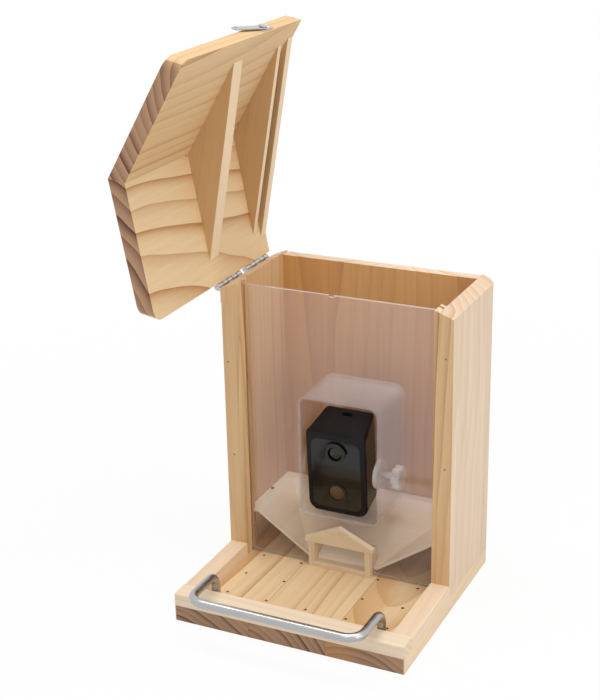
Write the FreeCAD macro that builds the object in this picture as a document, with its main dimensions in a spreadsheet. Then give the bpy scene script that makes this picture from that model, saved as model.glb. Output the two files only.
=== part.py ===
"""Bird feeder with a camera: a tray, a seed box behind a clear window, and a hinged gable lid.

Millimetres, +Z up. The origin is the centre of the base board's underside, and -Y is the tray's front.
The lid is drawn closed and then turned open about its hinge, which is the stored pose.
"""
import math
import os

import FreeCAD
import Part
import Sketcher

SIZES = (
    ("base_width", 220, "base and walls, left to right"),
    ("base_depth", 218, "tray front to back wall"),
    ("board_thick", 15, "base board"),
    ("rim_height", 12, "tray strips above the base board"),
    ("rim_width", 17.5, "front tray strip"),
    ("corner_round", 10, "rear upright corners of base and walls"),
    ("edge_ease", 1.5, "softened edges of the tray strips"),
    ("drain_dia", 3, "drain holes"),
    ("drain_pitch_across", 39, "drain holes, left to right"),
    ("drain_pitch_along", 36.7, "drain holes, front to back"),
    ("drain_front", 39.5, "tray front to first row of drain holes"),
    ("panel_thick", 13, "side walls"),
    ("wall_depth", 110, "side walls, front to back"),
    ("wall_height", 265, "side walls at their outer face, above the base board"),
    ("back_thick", 11, "back wall boards"),
    ("back_height", 268.5, "back wall boards"),
    ("back_joint", 20, "joint of the back boards, right of the centre"),
    ("bead_thick", 4.5, "window strips, inward from the side walls"),
    ("bead_depth", 17.5, "wall front to the back of the rear strips"),
    ("window_setback", 10, "wall front to window"),
    ("window_thick", 3, "clear sheet"),
    ("window_height", 266, "clear sheet"),
    ("window_fit", 0.2, "gap on each face of the window in its groove"),
    ("window_side_gap", 0.4, "gap at each edge of the window"),
    ("window_corner", 12, "lower corners of the window"),
    ("foot_high", 2, "window feet"),
    ("foot_wide", 4, "window feet"),
    ("foot_pitch", 116, "window feet, centre to centre"),
    ("notch_shift", -7, "finger notch in the window's top, from the centre"),
    ("notch_wide", 5, "finger notch"),
    ("notch_deep", 1.6, "finger notch"),
    ("cut_width", 76, "camera cut-out"),
    ("cut_height", 115, "camera cut-out"),
    ("cut_rise", 51, "base board to camera cut-out"),
    ("cut_shift", -2, "camera cut-out, from the centre"),
    ("cut_corner", 8, "camera cut-out corners"),
    ("box_wall", 3, "camera box walls"),
    ("box_depth", 57, "camera box behind the window"),
    ("port_width", 62, "feeding port over its posts"),
    ("port_reach", 5, "feeding port in front of the window"),
    ("port_depth", 18, "feeding port, front to back"),
    ("post_wide", 5.5, "port posts"),
    ("post_height", 25, "port posts"),
    ("sill_height", 5, "port sill"),
    ("port_apex", 45, "port roof's peak above the base board"),
    ("port_pitch", 24.5, "port roof, degrees"),
    ("port_roof_thick", 4, "port roof strips"),
    ("port_eave", 34, "port roof, centre to eave"),
    ("port_lip", 1, "port roof in front of the posts"),
    ("port_fit", 0.3, "window and funnel clear of the port"),
    ("funnel_rise", 43, "funnel's level rim above the base board"),
    ("funnel_low", 5, "funnel's lower edge above the base board"),
    ("funnel_low_half", 35, "funnel's lower edge, centre to corner"),
    ("funnel_inset", 1.5, "window strip to the funnel's slope"),
    ("funnel_sheet", 3, "funnel sheet, measured upright"),
    ("funnel_fit", 0.3, "funnel clear of walls and window"),
    ("flange_wide", 4, "funnel's level rim at the back"),
    ("cleat_wide", 6, "strips under the funnel's rim"),
    ("cleat_height", 16, "strips under the funnel's rim"),
    ("nail_radius", 0.8, "funnel nails"),
    ("nail_head_radius", 1.6, "funnel nails"),
    ("nail_head_high", 0.8, "funnel nails"),
    ("nail_length", 12, "funnel nails"),
    ("bar_dia", 8, "perch bar"),
    ("perch_span", 160, "perch legs, centre to centre"),
    ("perch_setback", 22.5, "tray front to perch legs"),
    ("perch_reach", 28, "perch crossbar in front of the tray"),
    ("perch_rise", 27, "base board to the crossbar's centre"),
    ("leg_bend", 12, "perch bend above the legs"),
    ("corner_bend", 14, "perch bend at the crossbar"),
    ("screw_radius", 1.75, "screws through the base board"),
    ("screw_head_radius", 3.5, "screws through the base board"),
    ("screw_head_high", 2.5, "screws through the base board"),
    ("screw_sunk", 0.5, "screw heads inside the base board"),
    ("screw_bite", 18, "wall screws above the base board"),
    ("perch_bite", 9, "perch screws above the base board"),
    ("fastener_fit", 0.05, "gap round a screw, nail, pin or rivet"),
    ("roof_pitch", 20.5, "lid, degrees"),
    ("roof_thick", 15, "lid boards"),
    ("roof_overhang", 1.5, "lid beyond the side walls"),
    ("lid_setback", 2, "tray front to lid"),
    ("lid_length", 212, "lid, front to back"),
    ("lid_corner", 10, "front corners of the lid"),
    ("lid_gap", 0.3, "closed lid above the walls"),
    ("lid_angle", 80, "lid opening, degrees"),
    ("front_gable_start", 106, "tray front to front gable"),
    ("front_gable_thick", 16, "front gable"),
    ("front_gable_rise", 8, "eave to the lower edge of the front gable"),
    ("inner_gable_start", 190, "tray front to inner rear gable"),
    ("inner_gable_thick", 6, "inner rear gable"),
    ("outer_gable_start", 204, "tray front to outer rear gable"),
    ("outer_gable_thick", 9, "outer rear gable"),
    ("rear_gable_rise", 6, "eave to the lower edge of the outer rear gable"),
    ("hinge_length", 44, "each hinge"),
    ("hinge_inset", 1, "wall front to first hinge"),
    ("hinge_end_gap", 0.5, "second hinge to the rounded wall corner"),
    ("hinge_drop", 0.5, "wall top to hinge axis"),
    ("hinge_clear", 0.2, "barrel to the lid's edge"),
    ("barrel_radius", 2.8, "hinge knuckles"),
    ("pin_radius", 1.2, "hinge pins"),
    ("knuckle_gap", 0.3, "between hinge knuckles"),
    ("leaf_thick", 1.2, "hinge leaves"),
    ("leaf_height", 11, "hinge leaves"),
    ("leaf_clear", 0.4, "hinge leaves to the barrel"),
    ("small_screw_radius", 1.2, "hinge and latch screws"),
    ("small_head_radius", 2.2, "hinge and latch screws"),
    ("small_head_high", 0.9, "hinge and latch screws"),
    ("small_screw_bite", 10, "hinge and latch screws under the head"),
    ("latch_start", 144, "tray front to latch plate"),
    ("latch_plate_wide", 16, "latch plate along the eave"),
    ("latch_plate_high", 13, "latch plate across the eave"),
    ("latch_thick", 1.2, "latch plate and arm"),
    ("latch_pivot_in", 5, "latch plate's end to the pivot"),
    ("latch_pivot_up", 6.5, "eave's lower edge to the pivot"),
    ("latch_arm_reach", 28, "latch pivot to the arm's tip centre"),
    ("latch_arm_wide", 8, "latch arm"),
    ("latch_tilt", 26, "latch arm above the eave line at rest, degrees"),
    ("latch_hole_radius", 1.8, "hole near the arm's tip"),
    ("rivet_radius", 2, "latch rivet"),
    ("rivet_head_radius", 3.4, "latch rivet"),
    ("rivet_gap", 0.2, "on each face of the latch arm"),
    ("camera_shift", -7.2, "camera, from the centre"),
    ("camera_setback", 6.5, "window back to the camera's front foot"),
    ("camera_lean", 4, "camera face, degrees forward of upright"),
    ("camera_width", 60, "camera at its front"),
    ("camera_taper", 6.5, "camera's rear, in from the front on each side"),
    ("camera_depth", 40, "camera"),
    ("camera_front_height", 82, "camera at its front"),
    ("camera_rear_height", 93, "camera at its rear, above the level of its front foot"),
    ("camera_corner", 10, "camera's lower side edges"),
    ("camera_rear_round", 5, "camera's upright rear edges"),
    ("camera_top_round", 3.5, "camera's upper edges"),
    ("camera_front_round", 3, "camera's front edges"),
    ("camera_fit", 0.3, "camera clear of its box and pads"),
    ("face_width", 49, "camera face plate"),
    ("face_height", 71, "camera face plate"),
    ("face_corner", 8, "camera face plate"),
    ("face_thick", 2.5, "camera face plate"),
    ("face_fit", 0.15, "face plate in its recess"),
    ("cavity_width", 39, "hollow inside the camera"),
    ("cavity_height", 60, "hollow inside the camera"),
    ("cavity_corner", 4, "hollow inside the camera"),
    ("cavity_depth", 23, "hollow inside the camera"),
    ("slot_wide", 10, "slot in the camera's top"),
    ("slot_long", 4, "slot in the camera's top"),
    ("slot_deep", 1.5, "slot in the camera's top"),
    ("slot_shift", 1, "slot, from the camera's centre"),
    ("slot_back", 26.5, "slot, from the camera's front"),
    ("lens_up", 63, "camera foot to lens centre"),
    ("ring_radius", 9.6, "lens ring"),
    ("ring_proud", 1, "lens ring in front of the face"),
    ("ring_wall", 2.6, "lens ring"),
    ("lens_rise", 2.2, "lens dome"),
    ("hood_radius", 11.7, "hood over the lens"),
    ("hood_wall", 1.6, "hood over the lens"),
    ("hood_reach", 2.6, "hood in front of the face"),
    ("sensor_up", 22.5, "camera foot to sensor centre"),
    ("sensor_radius", 7.5, "motion sensor dome"),
    ("sensor_rise", 1.8, "motion sensor dome"),
    ("bezel_wall", 2.6, "raised ring round the motion sensor"),
    ("bezel_proud", 0.8, "raised ring round the motion sensor"),
    ("circuit_thick", 1.6, "circuit board"),
    ("battery_thick", 10, "battery"),
    ("inner_margin", 2.5, "circuit board and battery inside the hollow"),
    ("clamp_back", 15, "window back to the clamp axis"),
    ("clamp_up", 96, "base board to the clamp axis"),
    ("clamp_open", 7, "camera to the clamp pad at rest"),
    ("pad_radius", 14, "clamp pad and rest pad"),
    ("pad_thick", 4, "clamp pad"),
    ("tip_radius", 2.4, "clamp screw's tip in the pad"),
    ("tip_length", 2.3, "clamp screw's tip in the pad"),
    ("tip_gap", 0.2, "end gap of the clamp screw's tip"),
    ("clamp_screw_radius", 3, "clamp screw"),
    ("knob_hub_radius", 7, "clamp knob"),
    ("knob_lobe_radius", 3.4, "clamp knob lobes"),
    ("knob_lobe_ring", 7.6, "clamp knob, centre to lobes"),
    ("knob_thick", 7.5, "clamp knob"),
    ("knob_socket", 5, "clamp screw inside the knob"),
)
KNOB_LOBES = 6
KNUCKLES = 5
DRAIN_COLUMNS = 5
DRAIN_ROWS = 3
# Where screws sit, as parts of a wall's depth, a hinge's length and the latch plate's width.
WALL_SCREWS_AT = (0.2, 0.8)
HINGE_SCREWS_AT = (0.25, 0.75)
LATCH_SCREWS_AT = 0.8
# How much of the funnel sheet's slope the level rim covers.
RIM_LAP = 0.7
# Length by which cutters pass the faces they cut.
REACH = 5
# Furthest that an edge may lie from a line and still be on it.
TOUCH = 1e-4
QUARTER = 90

doc = FreeCAD.newDocument("bird_feeder")
sheet = doc.addObject("Spreadsheet::Sheet", "sizes")
for row, (alias, number, note) in enumerate(SIZES, start=1):
    sheet.set(f"A{row}", note)
    sheet.set(f"B{row}", str(number))
    sheet.setAlias(f"B{row}", alias)
doc.recompute()


class Size:
    """A length or angle with the sheet formula that gives it."""

    def __init__(self, value, text):
        self.value = value
        self.text = text

    def __add__(self, other):
        other = as_size(other)
        return Size(self.value + other.value, f"({self.text} + {other.text})")

    def __sub__(self, other):
        other = as_size(other)
        return Size(self.value - other.value, f"({self.text} - {other.text})")

    def __mul__(self, other):
        other = as_size(other)
        return Size(self.value * other.value, f"({self.text} * {other.text})")

    def __truediv__(self, other):
        other = as_size(other)
        return Size(self.value / other.value, f"({self.text} / {other.text})")

    def __rsub__(self, other):
        return as_size(other) - self

    def __neg__(self):
        return Size(-self.value, f"(-1 * {self.text})")

    __radd__ = __add__
    __rmul__ = __mul__


def as_size(number):
    if isinstance(number, Size):
        return number
    return Size(number, f"({number})")


def tangent(angle):
    return Size(math.tan(math.radians(angle.value)), f"tan({angle.text})")


def cosine(angle):
    return Size(math.cos(math.radians(angle.value)), f"cos({angle.text})")


def bind(obj, prop, amount):
    obj.setExpression(prop, as_size(amount).text)


def place(obj, x, y, z):
    bind(obj, "Placement.Base.x", x)
    bind(obj, "Placement.Base.y", y)
    bind(obj, "Placement.Base.z", z)


def block(name, x, y, z):
    """A box between two limits along each axis."""
    obj = doc.addObject("Part::Box", name)
    for prop, (low, high) in zip(("Length", "Width", "Height"), (x, y, z)):
        bind(obj, prop, high - low)
    place(obj, x[0], y[0], z[0])
    return obj


AXIS_TURNS = (
    FreeCAD.Rotation(FreeCAD.Vector(0, 1, 0), QUARTER),
    FreeCAD.Rotation(FreeCAD.Vector(1, 0, 0), -QUARTER),
    FreeCAD.Rotation(),
)


def rod(name, radius, x, y, z):
    """A cylinder along the one axis that is given as a pair of limits."""
    obj = doc.addObject("Part::Cylinder", name)
    along = [isinstance(span, tuple) for span in (x, y, z)].index(True)
    low, high = (x, y, z)[along]
    start = [x, y, z]
    start[along] = low
    obj.Placement = FreeCAD.Placement(FreeCAD.Vector(), AXIS_TURNS[along])
    bind(obj, "Radius", radius)
    bind(obj, "Height", high - low)
    place(obj, *start)
    return obj


def join(name, *pieces):
    obj = doc.addObject("Part::MultiFuse", name)
    obj.Shapes = list(pieces)
    return obj


def group(name, pieces):
    obj = doc.addObject("Part::Compound", name)
    obj.Links = list(pieces)
    return obj


def overlap(name, first, second):
    obj = doc.addObject("Part::Common", name)
    obj.Base = first
    obj.Tool = second
    return obj


def cut(name, base, *tools):
    obj = doc.addObject("Part::Cut", name)
    obj.Base = base
    obj.Tool = tools[0] if len(tools) == 1 else join(name + "_cutter", *tools)
    return obj


PLANES = {"X": ("YZ_Plane", 1, False), "Y": ("XZ_Plane", -1, True), "Z": ("XY_Plane", 1, False)}


def new_sketch(body, axis, start):
    role, sign, _ = PLANES[axis]
    plane = [item for item in body.Origin.OriginFeatures if item.Role == role][0]
    sketch = body.newObject("Sketcher::SketchObject", body.Name + "_sketch")
    sketch.AttachmentSupport = [(plane, "")]
    sketch.MapMode = "FlatFace"
    bind(sketch, "AttachmentOffset.Base.z", sign * start)
    return sketch


def pin_point(sketch, edge, end, x, y):
    """Hold one end of a sketch edge at x, y from the sketch origin."""
    for kind, amount in (("DistanceX", x), ("DistanceY", y)):
        amount = as_size(amount)
        rule = sketch.addConstraint(Sketcher.Constraint(kind, -1, 1, edge, end, amount.value))
        sketch.setExpression(f"Constraints[{rule}]", amount.text)


def polygon(body, axis, start, points):
    sketch = new_sketch(body, axis, start)
    corners = [FreeCAD.Vector(as_size(x).value, as_size(y).value, 0) for x, y in points]
    count = len(corners)
    for i in range(count):
        sketch.addGeometry(Part.LineSegment(corners[i], corners[(i + 1) % count]), False)
    for i in range(count):
        sketch.addConstraint(Sketcher.Constraint("Coincident", i, 2, (i + 1) % count, 1))
    for i, (x, y) in enumerate(points):
        pin_point(sketch, i, 1, x, y)
    return sketch


def rounded(body, axis, start, x, y, radius):
    """A rectangle with round corners: sides are edges 0, 2, 4, 6 and corners 1, 3, 5, 7."""
    sketch = new_sketch(body, axis, start)
    left, right, low, high, r = (as_size(item).value for item in (*x, *y, radius))
    corners = (
        (right - r, low + r, -QUARTER),
        (right - r, high - r, 0),
        (left + r, high - r, QUARTER),
        (left + r, low + r, 2 * QUARTER),
    )
    sides = (
        ((left + r, low), (right - r, low)),
        ((right, low + r), (right, high - r)),
        ((right - r, high), (left + r, high)),
        ((left, high - r), (left, low + r)),
    )
    for side, (cx, cy, turn) in zip(sides, corners):
        sketch.addGeometry(Part.LineSegment(*(FreeCAD.Vector(*point, 0) for point in side)), False)
        circle = Part.Circle(FreeCAD.Vector(cx, cy, 0), FreeCAD.Vector(0, 0, 1), r)
        arc = Part.ArcOfCircle(circle, math.radians(turn), math.radians(turn + QUARTER))
        sketch.addGeometry(arc, False)
    count = len(sides) + len(corners)
    for i in range(count):
        sketch.addConstraint(Sketcher.Constraint("Tangent", i, 2, (i + 1) % count, 1))
    for side in (0, 4):
        sketch.addConstraint(Sketcher.Constraint("Horizontal", side))
    for side in (2, 6):
        sketch.addConstraint(Sketcher.Constraint("Vertical", side))
    for corner in (3, 5, 7):
        sketch.addConstraint(Sketcher.Constraint("Equal", 1, corner))
    rule = sketch.addConstraint(Sketcher.Constraint("Radius", 1, r))
    sketch.setExpression(f"Constraints[{rule}]", as_size(radius).text)
    for kind, edge, amount in (
        ("DistanceX", 6, x[0]),
        ("DistanceX", 2, x[1]),
        ("DistanceY", 0, y[0]),
        ("DistanceY", 4, y[1]),
    ):
        amount = as_size(amount)
        rule = sketch.addConstraint(Sketcher.Constraint(kind, -1, 1, edge, 1, amount.value))
        sketch.setExpression(f"Constraints[{rule}]", amount.text)
    return sketch


def pad(body, sketch, axis, length):
    feature = body.newObject("PartDesign::Pad", body.Name + "_pad")
    feature.Profile = sketch
    bind(feature, "Length", length)
    feature.Reversed = PLANES[axis][2]
    body.Tip = feature


def pocket(body, sketch, axis, length):
    """Remove material from the sketch towards the axis's positive end."""
    feature = body.newObject("PartDesign::Pocket", body.Name + "_pocket")
    feature.Profile = sketch
    bind(feature, "Length", length)
    feature.Reversed = not PLANES[axis][2]
    body.Tip = feature


def prism(name, axis, span, points):
    body = doc.addObject("PartDesign::Body", name)
    pad(body, polygon(body, axis, span[0], points), axis, span[1] - span[0])
    return body


def rounded_prism(name, axis, span, x, y, radius):
    body = doc.addObject("PartDesign::Body", name)
    pad(body, rounded(body, axis, span[0], x, y, radius), axis, span[1] - span[0])
    return body


def soften(body, radius, pick):
    """Round the edges of the body's last feature that pick accepts."""
    doc.recompute()
    base = body.Tip
    names = [f"Edge{i}" for i, edge in enumerate(base.Shape.Edges, start=1) if pick(edge)]
    fillet = body.newObject("PartDesign::Fillet", body.Name + "_round")
    fillet.Base = (base, names)
    bind(fillet, "Radius", radius)
    body.Tip = fillet


def near(low, high, target):
    target = as_size(target).value
    return abs(low - target) < TOUCH and abs(high - target) < TOUCH


def at_x(edge, x):
    return near(edge.BoundBox.XMin, edge.BoundBox.XMax, x)


def at_y(edge, y):
    return near(edge.BoundBox.YMin, edge.BoundBox.YMax, y)


def at_z(edge, z):
    return near(edge.BoundBox.ZMin, edge.BoundBox.ZMax, z)


def turned(obj, axis, angle, centre):
    """Turn a finished piece by an angle in degrees about an axis through a point."""
    x, y, z = (as_size(part).text for part in centre)
    obj.setExpression(
        "Placement",
        "create(<<placement>>; create(<<vector>>; 0; 0; 0); "
        f"create(<<rotation>>; create(<<vector>>; {axis}); {as_size(angle).text}); "
        f"create(<<vector>>; {x}; {y}; {z}))",
    )
    return obj


ABOUT_X = "1; 0; 0"
ABOUT_Y = "0; 1; 0"
nodes = []


def keep(name, obj):
    """List a finished piece under its node name."""
    obj.Label = name
    nodes.append(obj)
    return obj


NAMES = {alias: Size(float(sheet.get(alias)), f"sizes.{alias}") for alias, _, _ in SIZES}


def size(alias):
    return NAMES[alias]


# Shared lines of the object.
half = size("base_width") / 2
front = -(size("base_depth") / 2)
back = size("base_depth") / 2
floor = size("board_thick")
wall_front = back - size("wall_depth")
wall_top = floor + size("wall_height")
slope = tangent(size("roof_pitch"))
inner = half - size("panel_thick")
bead_in = inner - size("bead_thick")
window_front = wall_front + size("window_setback")
window_back = window_front + size("window_thick")
bead_back = wall_front + size("bead_depth")
back_in = back - size("back_thick")
fit = size("fastener_fit")

# Hinge lines: two hinges share one axis along Y on the left wall's top edge.
eave = half + size("roof_overhang")
barrel = size("barrel_radius")
hinge_x = -(eave + barrel + size("hinge_clear"))
hinge_z = wall_top - size("hinge_drop")
hinge_starts = (
    wall_front + size("hinge_inset"),
    back - size("corner_round") - size("hinge_end_gap") - size("hinge_length"),
)
leaf_near = barrel + size("leaf_clear")
leaf_mid = leaf_near + size("leaf_height") / 2
hinge_screw_ys = [start + size("hinge_length") * part for start in hinge_starts for part in HINGE_SCREWS_AT]

# Base board, with drain holes and counterbored holes for the screws that enter from below.
# The port stands over the rest of the middle column, which has only its front drain hole.
screw_seat = size("screw_sunk") + size("screw_head_high")
panel_mid = half - size("panel_thick") / 2
wall_screw_spots = [
    (side * panel_mid, wall_front + size("wall_depth") * part) for side in (-1, 1) for part in WALL_SCREWS_AT
]
wall_screw_spots += [(side * half / 2, back - size("back_thick") / 2) for side in (-1, 1)]
leg_x = size("perch_span") / 2
leg_y = front + size("perch_setback")
perch_screw_spots = [(-leg_x, leg_y), (leg_x, leg_y)]

base = prism(
    "base_blank", "Z", (as_size(0), floor), [(-half, front), (half, front), (half, back), (-half, back)]
)
soften(base, size("corner_round"), lambda e: at_y(e, back) and (at_x(e, half) or at_x(e, -half)))
drills = []
through_board = (as_size(-REACH), floor + REACH)
for column in range(DRAIN_COLUMNS):
    for line in range(DRAIN_ROWS):
        if column == DRAIN_COLUMNS // 2 and line > 0:
            continue
        x = size("drain_pitch_across") * (column - DRAIN_COLUMNS // 2)
        y = front + size("drain_front") + size("drain_pitch_along") * line
        drills.append(rod(f"drain_{column}_{line}", size("drain_dia") / 2, x, y, through_board))
for i, (x, y) in enumerate(wall_screw_spots + perch_screw_spots):
    drills.append(rod(f"base_hole_{i}", size("screw_radius") + fit, x, y, through_board))
    drills.append(rod(f"base_sink_{i}", size("screw_head_radius") + fit, x, y, (as_size(-REACH), screw_seat)))
keep("base_board", cut("base_board", base, *drills))


def base_screws(name, spots, top):
    """Screws that enter from under the base board and reach up to one level."""
    screws = []
    for i, (x, y) in enumerate(spots):
        head = rod(f"{name}_head_{i}", size("screw_head_radius"), x, y, (size("screw_sunk"), screw_seat))
        shank = rod(f"{name}_shank_{i}", size("screw_radius"), x, y, (screw_seat, top))
        screws.append(join(f"{name}_{i}", head, shank))
    return group(name, screws)


wall_screw_top = floor + size("screw_bite")
keep("wall_screws", base_screws("wall_screws", wall_screw_spots, wall_screw_top))

# Tray strips: the front one runs right across, the side ones stop at the walls.
rim_top = floor + size("rim_height")
rim_back = front + size("rim_width")
front_rim = prism(
    "front_rim", "Z", (floor, rim_top), [(-half, front), (half, front), (half, rim_back), (-half, rim_back)]
)
soften(front_rim, size("edge_ease"), lambda e: at_z(e, rim_top) and at_y(e, front))
keep("front_rim", front_rim)
for side, sign in (("left", -1), ("right", 1)):
    outer_x = sign * half
    inner_x = sign * bead_in
    rim = prism(
        f"{side}_rim",
        "Z",
        (floor, rim_top),
        [(outer_x, rim_back), (inner_x, rim_back), (inner_x, wall_front), (outer_x, wall_front)],
    )
    soften(rim, size("edge_ease"), lambda e, x=outer_x: at_z(e, rim_top) and at_x(e, x))
    keep(f"{side}_rim", rim)

# Side walls, bevelled on top to the roof pitch; the left one is drilled for the hinge screws.
panel_in_top = wall_top + size("panel_thick") * slope
for side, sign in (("left", -1), ("right", 1)):
    outer_x = sign * half
    inner_x = sign * inner
    panel = prism(
        f"{side}_panel_blank",
        "Y",
        (wall_front, back),
        [(inner_x, floor), (outer_x, floor), (outer_x, wall_top), (inner_x, panel_in_top)],
    )
    soften(panel, size("corner_round"), lambda e, x=outer_x: at_y(e, back) and at_x(e, x))
    holes = [
        rod(f"{side}_panel_hole_{i}", size("screw_radius") + fit, x, y, (floor - REACH, wall_screw_top + fit))
        for i, (x, y) in enumerate(wall_screw_spots)
        if x.value * sign > inner.value
    ]
    if side == "left":
        holes += [
            rod(
                f"left_panel_pilot_{i}",
                size("small_screw_radius") + fit,
                (outer_x - REACH, outer_x - size("leaf_thick") + size("small_screw_bite") + fit),
                y,
                hinge_z - leaf_mid,
            )
            for i, y in enumerate(hinge_screw_ys)
        ]
    keep(f"{side}_panel", cut(f"{side}_panel", panel, *holes))

# Back wall: two upright boards between the side walls.
back_top = floor + size("back_height")
for side, span, spot in (
    ("left", (-inner, size("back_joint")), wall_screw_spots[4]),
    ("right", (size("back_joint"), inner), wall_screw_spots[5]),
):
    blank = block(f"back_{side}_blank", span, (back_in, back), (floor, back_top))
    hole = rod(f"back_{side}_hole", size("screw_radius") + fit, *spot, (floor - REACH, wall_screw_top + fit))
    keep(f"back_board_{side}", cut(f"back_board_{side}", blank, hole))

# Window strips: a front and a rear one on each side wall, with the window sliding between them.
bead_in_top = panel_in_top + size("bead_thick") * slope
for side, sign in (("left", -1), ("right", 1)):
    outline = [
        (sign * bead_in, floor),
        (sign * inner, floor),
        (sign * inner, panel_in_top),
        (sign * bead_in, bead_in_top),
    ]
    keep(
        f"{side}_front_bead",
        prism(f"{side}_front_bead", "Y", (wall_front, window_front - size("window_fit")), outline),
    )
    keep(
        f"{side}_rear_bead",
        prism(f"{side}_rear_bead", "Y", (window_back + size("window_fit"), bead_back), outline),
    )

# Window: clear sheet on two feet, notched for the port and cut out for the camera.
port_half = size("port_width") / 2
post_top = floor + size("post_height")
pane_half = inner - size("window_side_gap")
pane_low = floor + size("foot_high")
pane_top = pane_low + size("window_height")
foot_mid = size("foot_pitch") / 2
foot_half = size("foot_wide") / 2
gate = port_half + size("port_fit")
gate_top = post_top + size("port_fit")
finger_left = size("notch_shift") - size("notch_wide") / 2
finger_right = size("notch_shift") + size("notch_wide") / 2
window = prism(
    "front_window",
    "Y",
    (window_front, window_back),
    [
        (-pane_half, pane_low),
        (-foot_mid - foot_half, pane_low),
        (-foot_mid - foot_half, floor),
        (-foot_mid + foot_half, floor),
        (-foot_mid + foot_half, pane_low),
        (-gate, pane_low),
        (-gate, gate_top),
        (gate, gate_top),
        (gate, pane_low),
        (foot_mid - foot_half, pane_low),
        (foot_mid - foot_half, floor),
        (foot_mid + foot_half, floor),
        (foot_mid + foot_half, pane_low),
        (pane_half, pane_low),
        (pane_half, pane_top),
        (finger_right, pane_top),
        (finger_right, pane_top - size("notch_deep")),
        (finger_left, pane_top - size("notch_deep")),
        (finger_left, pane_top),
        (-pane_half, pane_top),
    ],
)
soften(
    window, size("window_corner"), lambda e: at_z(e, pane_low) and (at_x(e, pane_half) or at_x(e, -pane_half))
)
cut_x = (size("cut_shift") - size("cut_width") / 2, size("cut_shift") + size("cut_width") / 2)
cut_low = floor + size("cut_rise")
cut_z = (cut_low, cut_low + size("cut_height"))
pocket(
    window, rounded(window, "Y", window_front, cut_x, cut_z, size("cut_corner")), "Y", size("window_thick")
)
keep("front_window", window)

# Camera box: clear, five-sided, glued behind the cut-out, bored for the clamp screw.
wall = size("box_wall")
clamp_y = window_back + size("clamp_back")
clamp_z = floor + size("clamp_up")
shell_box = rounded_prism(
    "camera_box_blank",
    "Y",
    (window_back, window_back + size("box_depth")),
    (cut_x[0] - wall, cut_x[1] + wall),
    (cut_z[0] - wall, cut_z[1] + wall),
    size("cut_corner") + wall,
)
pocket(
    shell_box,
    rounded(shell_box, "Y", window_back, cut_x, cut_z, size("cut_corner")),
    "Y",
    size("box_depth") - wall,
)
clamp_bore = rod(
    "clamp_bore",
    size("clamp_screw_radius") + fit,
    (cut_x[1] - REACH, cut_x[1] + wall + REACH),
    clamp_y,
    clamp_z,
)
keep("camera_box", cut("camera_box", shell_box, clamp_bore))
camera_x = size("camera_shift")
camera_left = camera_x - size("camera_width") / 2
camera_right = camera_x + size("camera_width") / 2
rest_span = (cut_x[0], camera_left - size("camera_fit"))
keep("rest_pad", rod("rest_pad", size("pad_radius"), rest_span, clamp_y, clamp_z))

# Feeding port: sill, two posts, gable and two roof strips, standing on the base board.
port_front = window_front - size("port_reach")
port_back = port_front + size("port_depth")
post_in = port_half - size("post_wide")
keep(
    "port_sill",
    block("port_sill", (-post_in, post_in), (port_front, port_back), (floor, floor + size("sill_height"))),
)
for side, span in (("left", (-port_half, -post_in)), ("right", (post_in, port_half))):
    keep(
        f"port_{side}_post", block(f"port_{side}_post", span, (port_front, port_back), (floor, post_top))
    )
port_slope = tangent(size("port_pitch"))
peak = floor + size("port_apex")
strip = size("port_roof_thick") / cosine(size("port_pitch"))
strip_back = window_front - size("port_fit")
under_peak = peak - strip
keep(
    "port_gable",
    prism(
        "port_gable",
        "Y",
        (port_front, strip_back),
        [
            (-port_half, post_top),
            (port_half, post_top),
            (port_half, under_peak - port_half * port_slope),
            (as_size(0), under_peak),
            (-port_half, under_peak - port_half * port_slope),
        ],
    ),
)
port_eave_drop = size("port_eave") * port_slope
for side, sign in (("left", -1), ("right", 1)):
    eave_x = sign * size("port_eave")
    keep(
        f"port_{side}_roof",
        prism(
            f"port_{side}_roof",
            "Y",
            (port_front - size("port_lip"), strip_back),
            [
                (as_size(0), under_peak),
                (as_size(0), peak),
                (eave_x, peak - port_eave_drop),
                (eave_x, under_peak - port_eave_drop),
            ],
        ),
    )

# Seed funnel: side and back slopes fall to the port; a level rim rests on strips round the walls.
slope_half = bead_in - size("funnel_inset")
low_half = size("funnel_low_half")
rim_z = floor + size("funnel_rise")
low_z = floor + size("funnel_low")
sheet_z = size("funnel_sheet")
funnel_front = window_back + size("funnel_fit")
funnel_back = back_in - size("funnel_fit")
slope_back = funnel_back - size("flange_wide")
side_fall = (rim_z - low_z) / (slope_half - low_half)
back_fall = (rim_z - low_z) / (slope_back - funnel_front)


def hopper(name, lift, run):
    """The space above the slopes, lifted and run out towards the window."""
    sides = prism(
        name + "_sides",
        "Y",
        (funnel_front - run, slope_back),
        [
            (-slope_half, rim_z + lift),
            (slope_half, rim_z + lift),
            (low_half, low_z + lift),
            (-low_half, low_z + lift),
        ],
    )
    rear = prism(
        name + "_rear",
        "X",
        (-slope_half, slope_half),
        [
            (funnel_front - run, low_z + lift - run * back_fall),
            (slope_back, rim_z + lift),
            (funnel_front - run, rim_z + lift),
        ],
    )
    return overlap(name, sides, rear)


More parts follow.
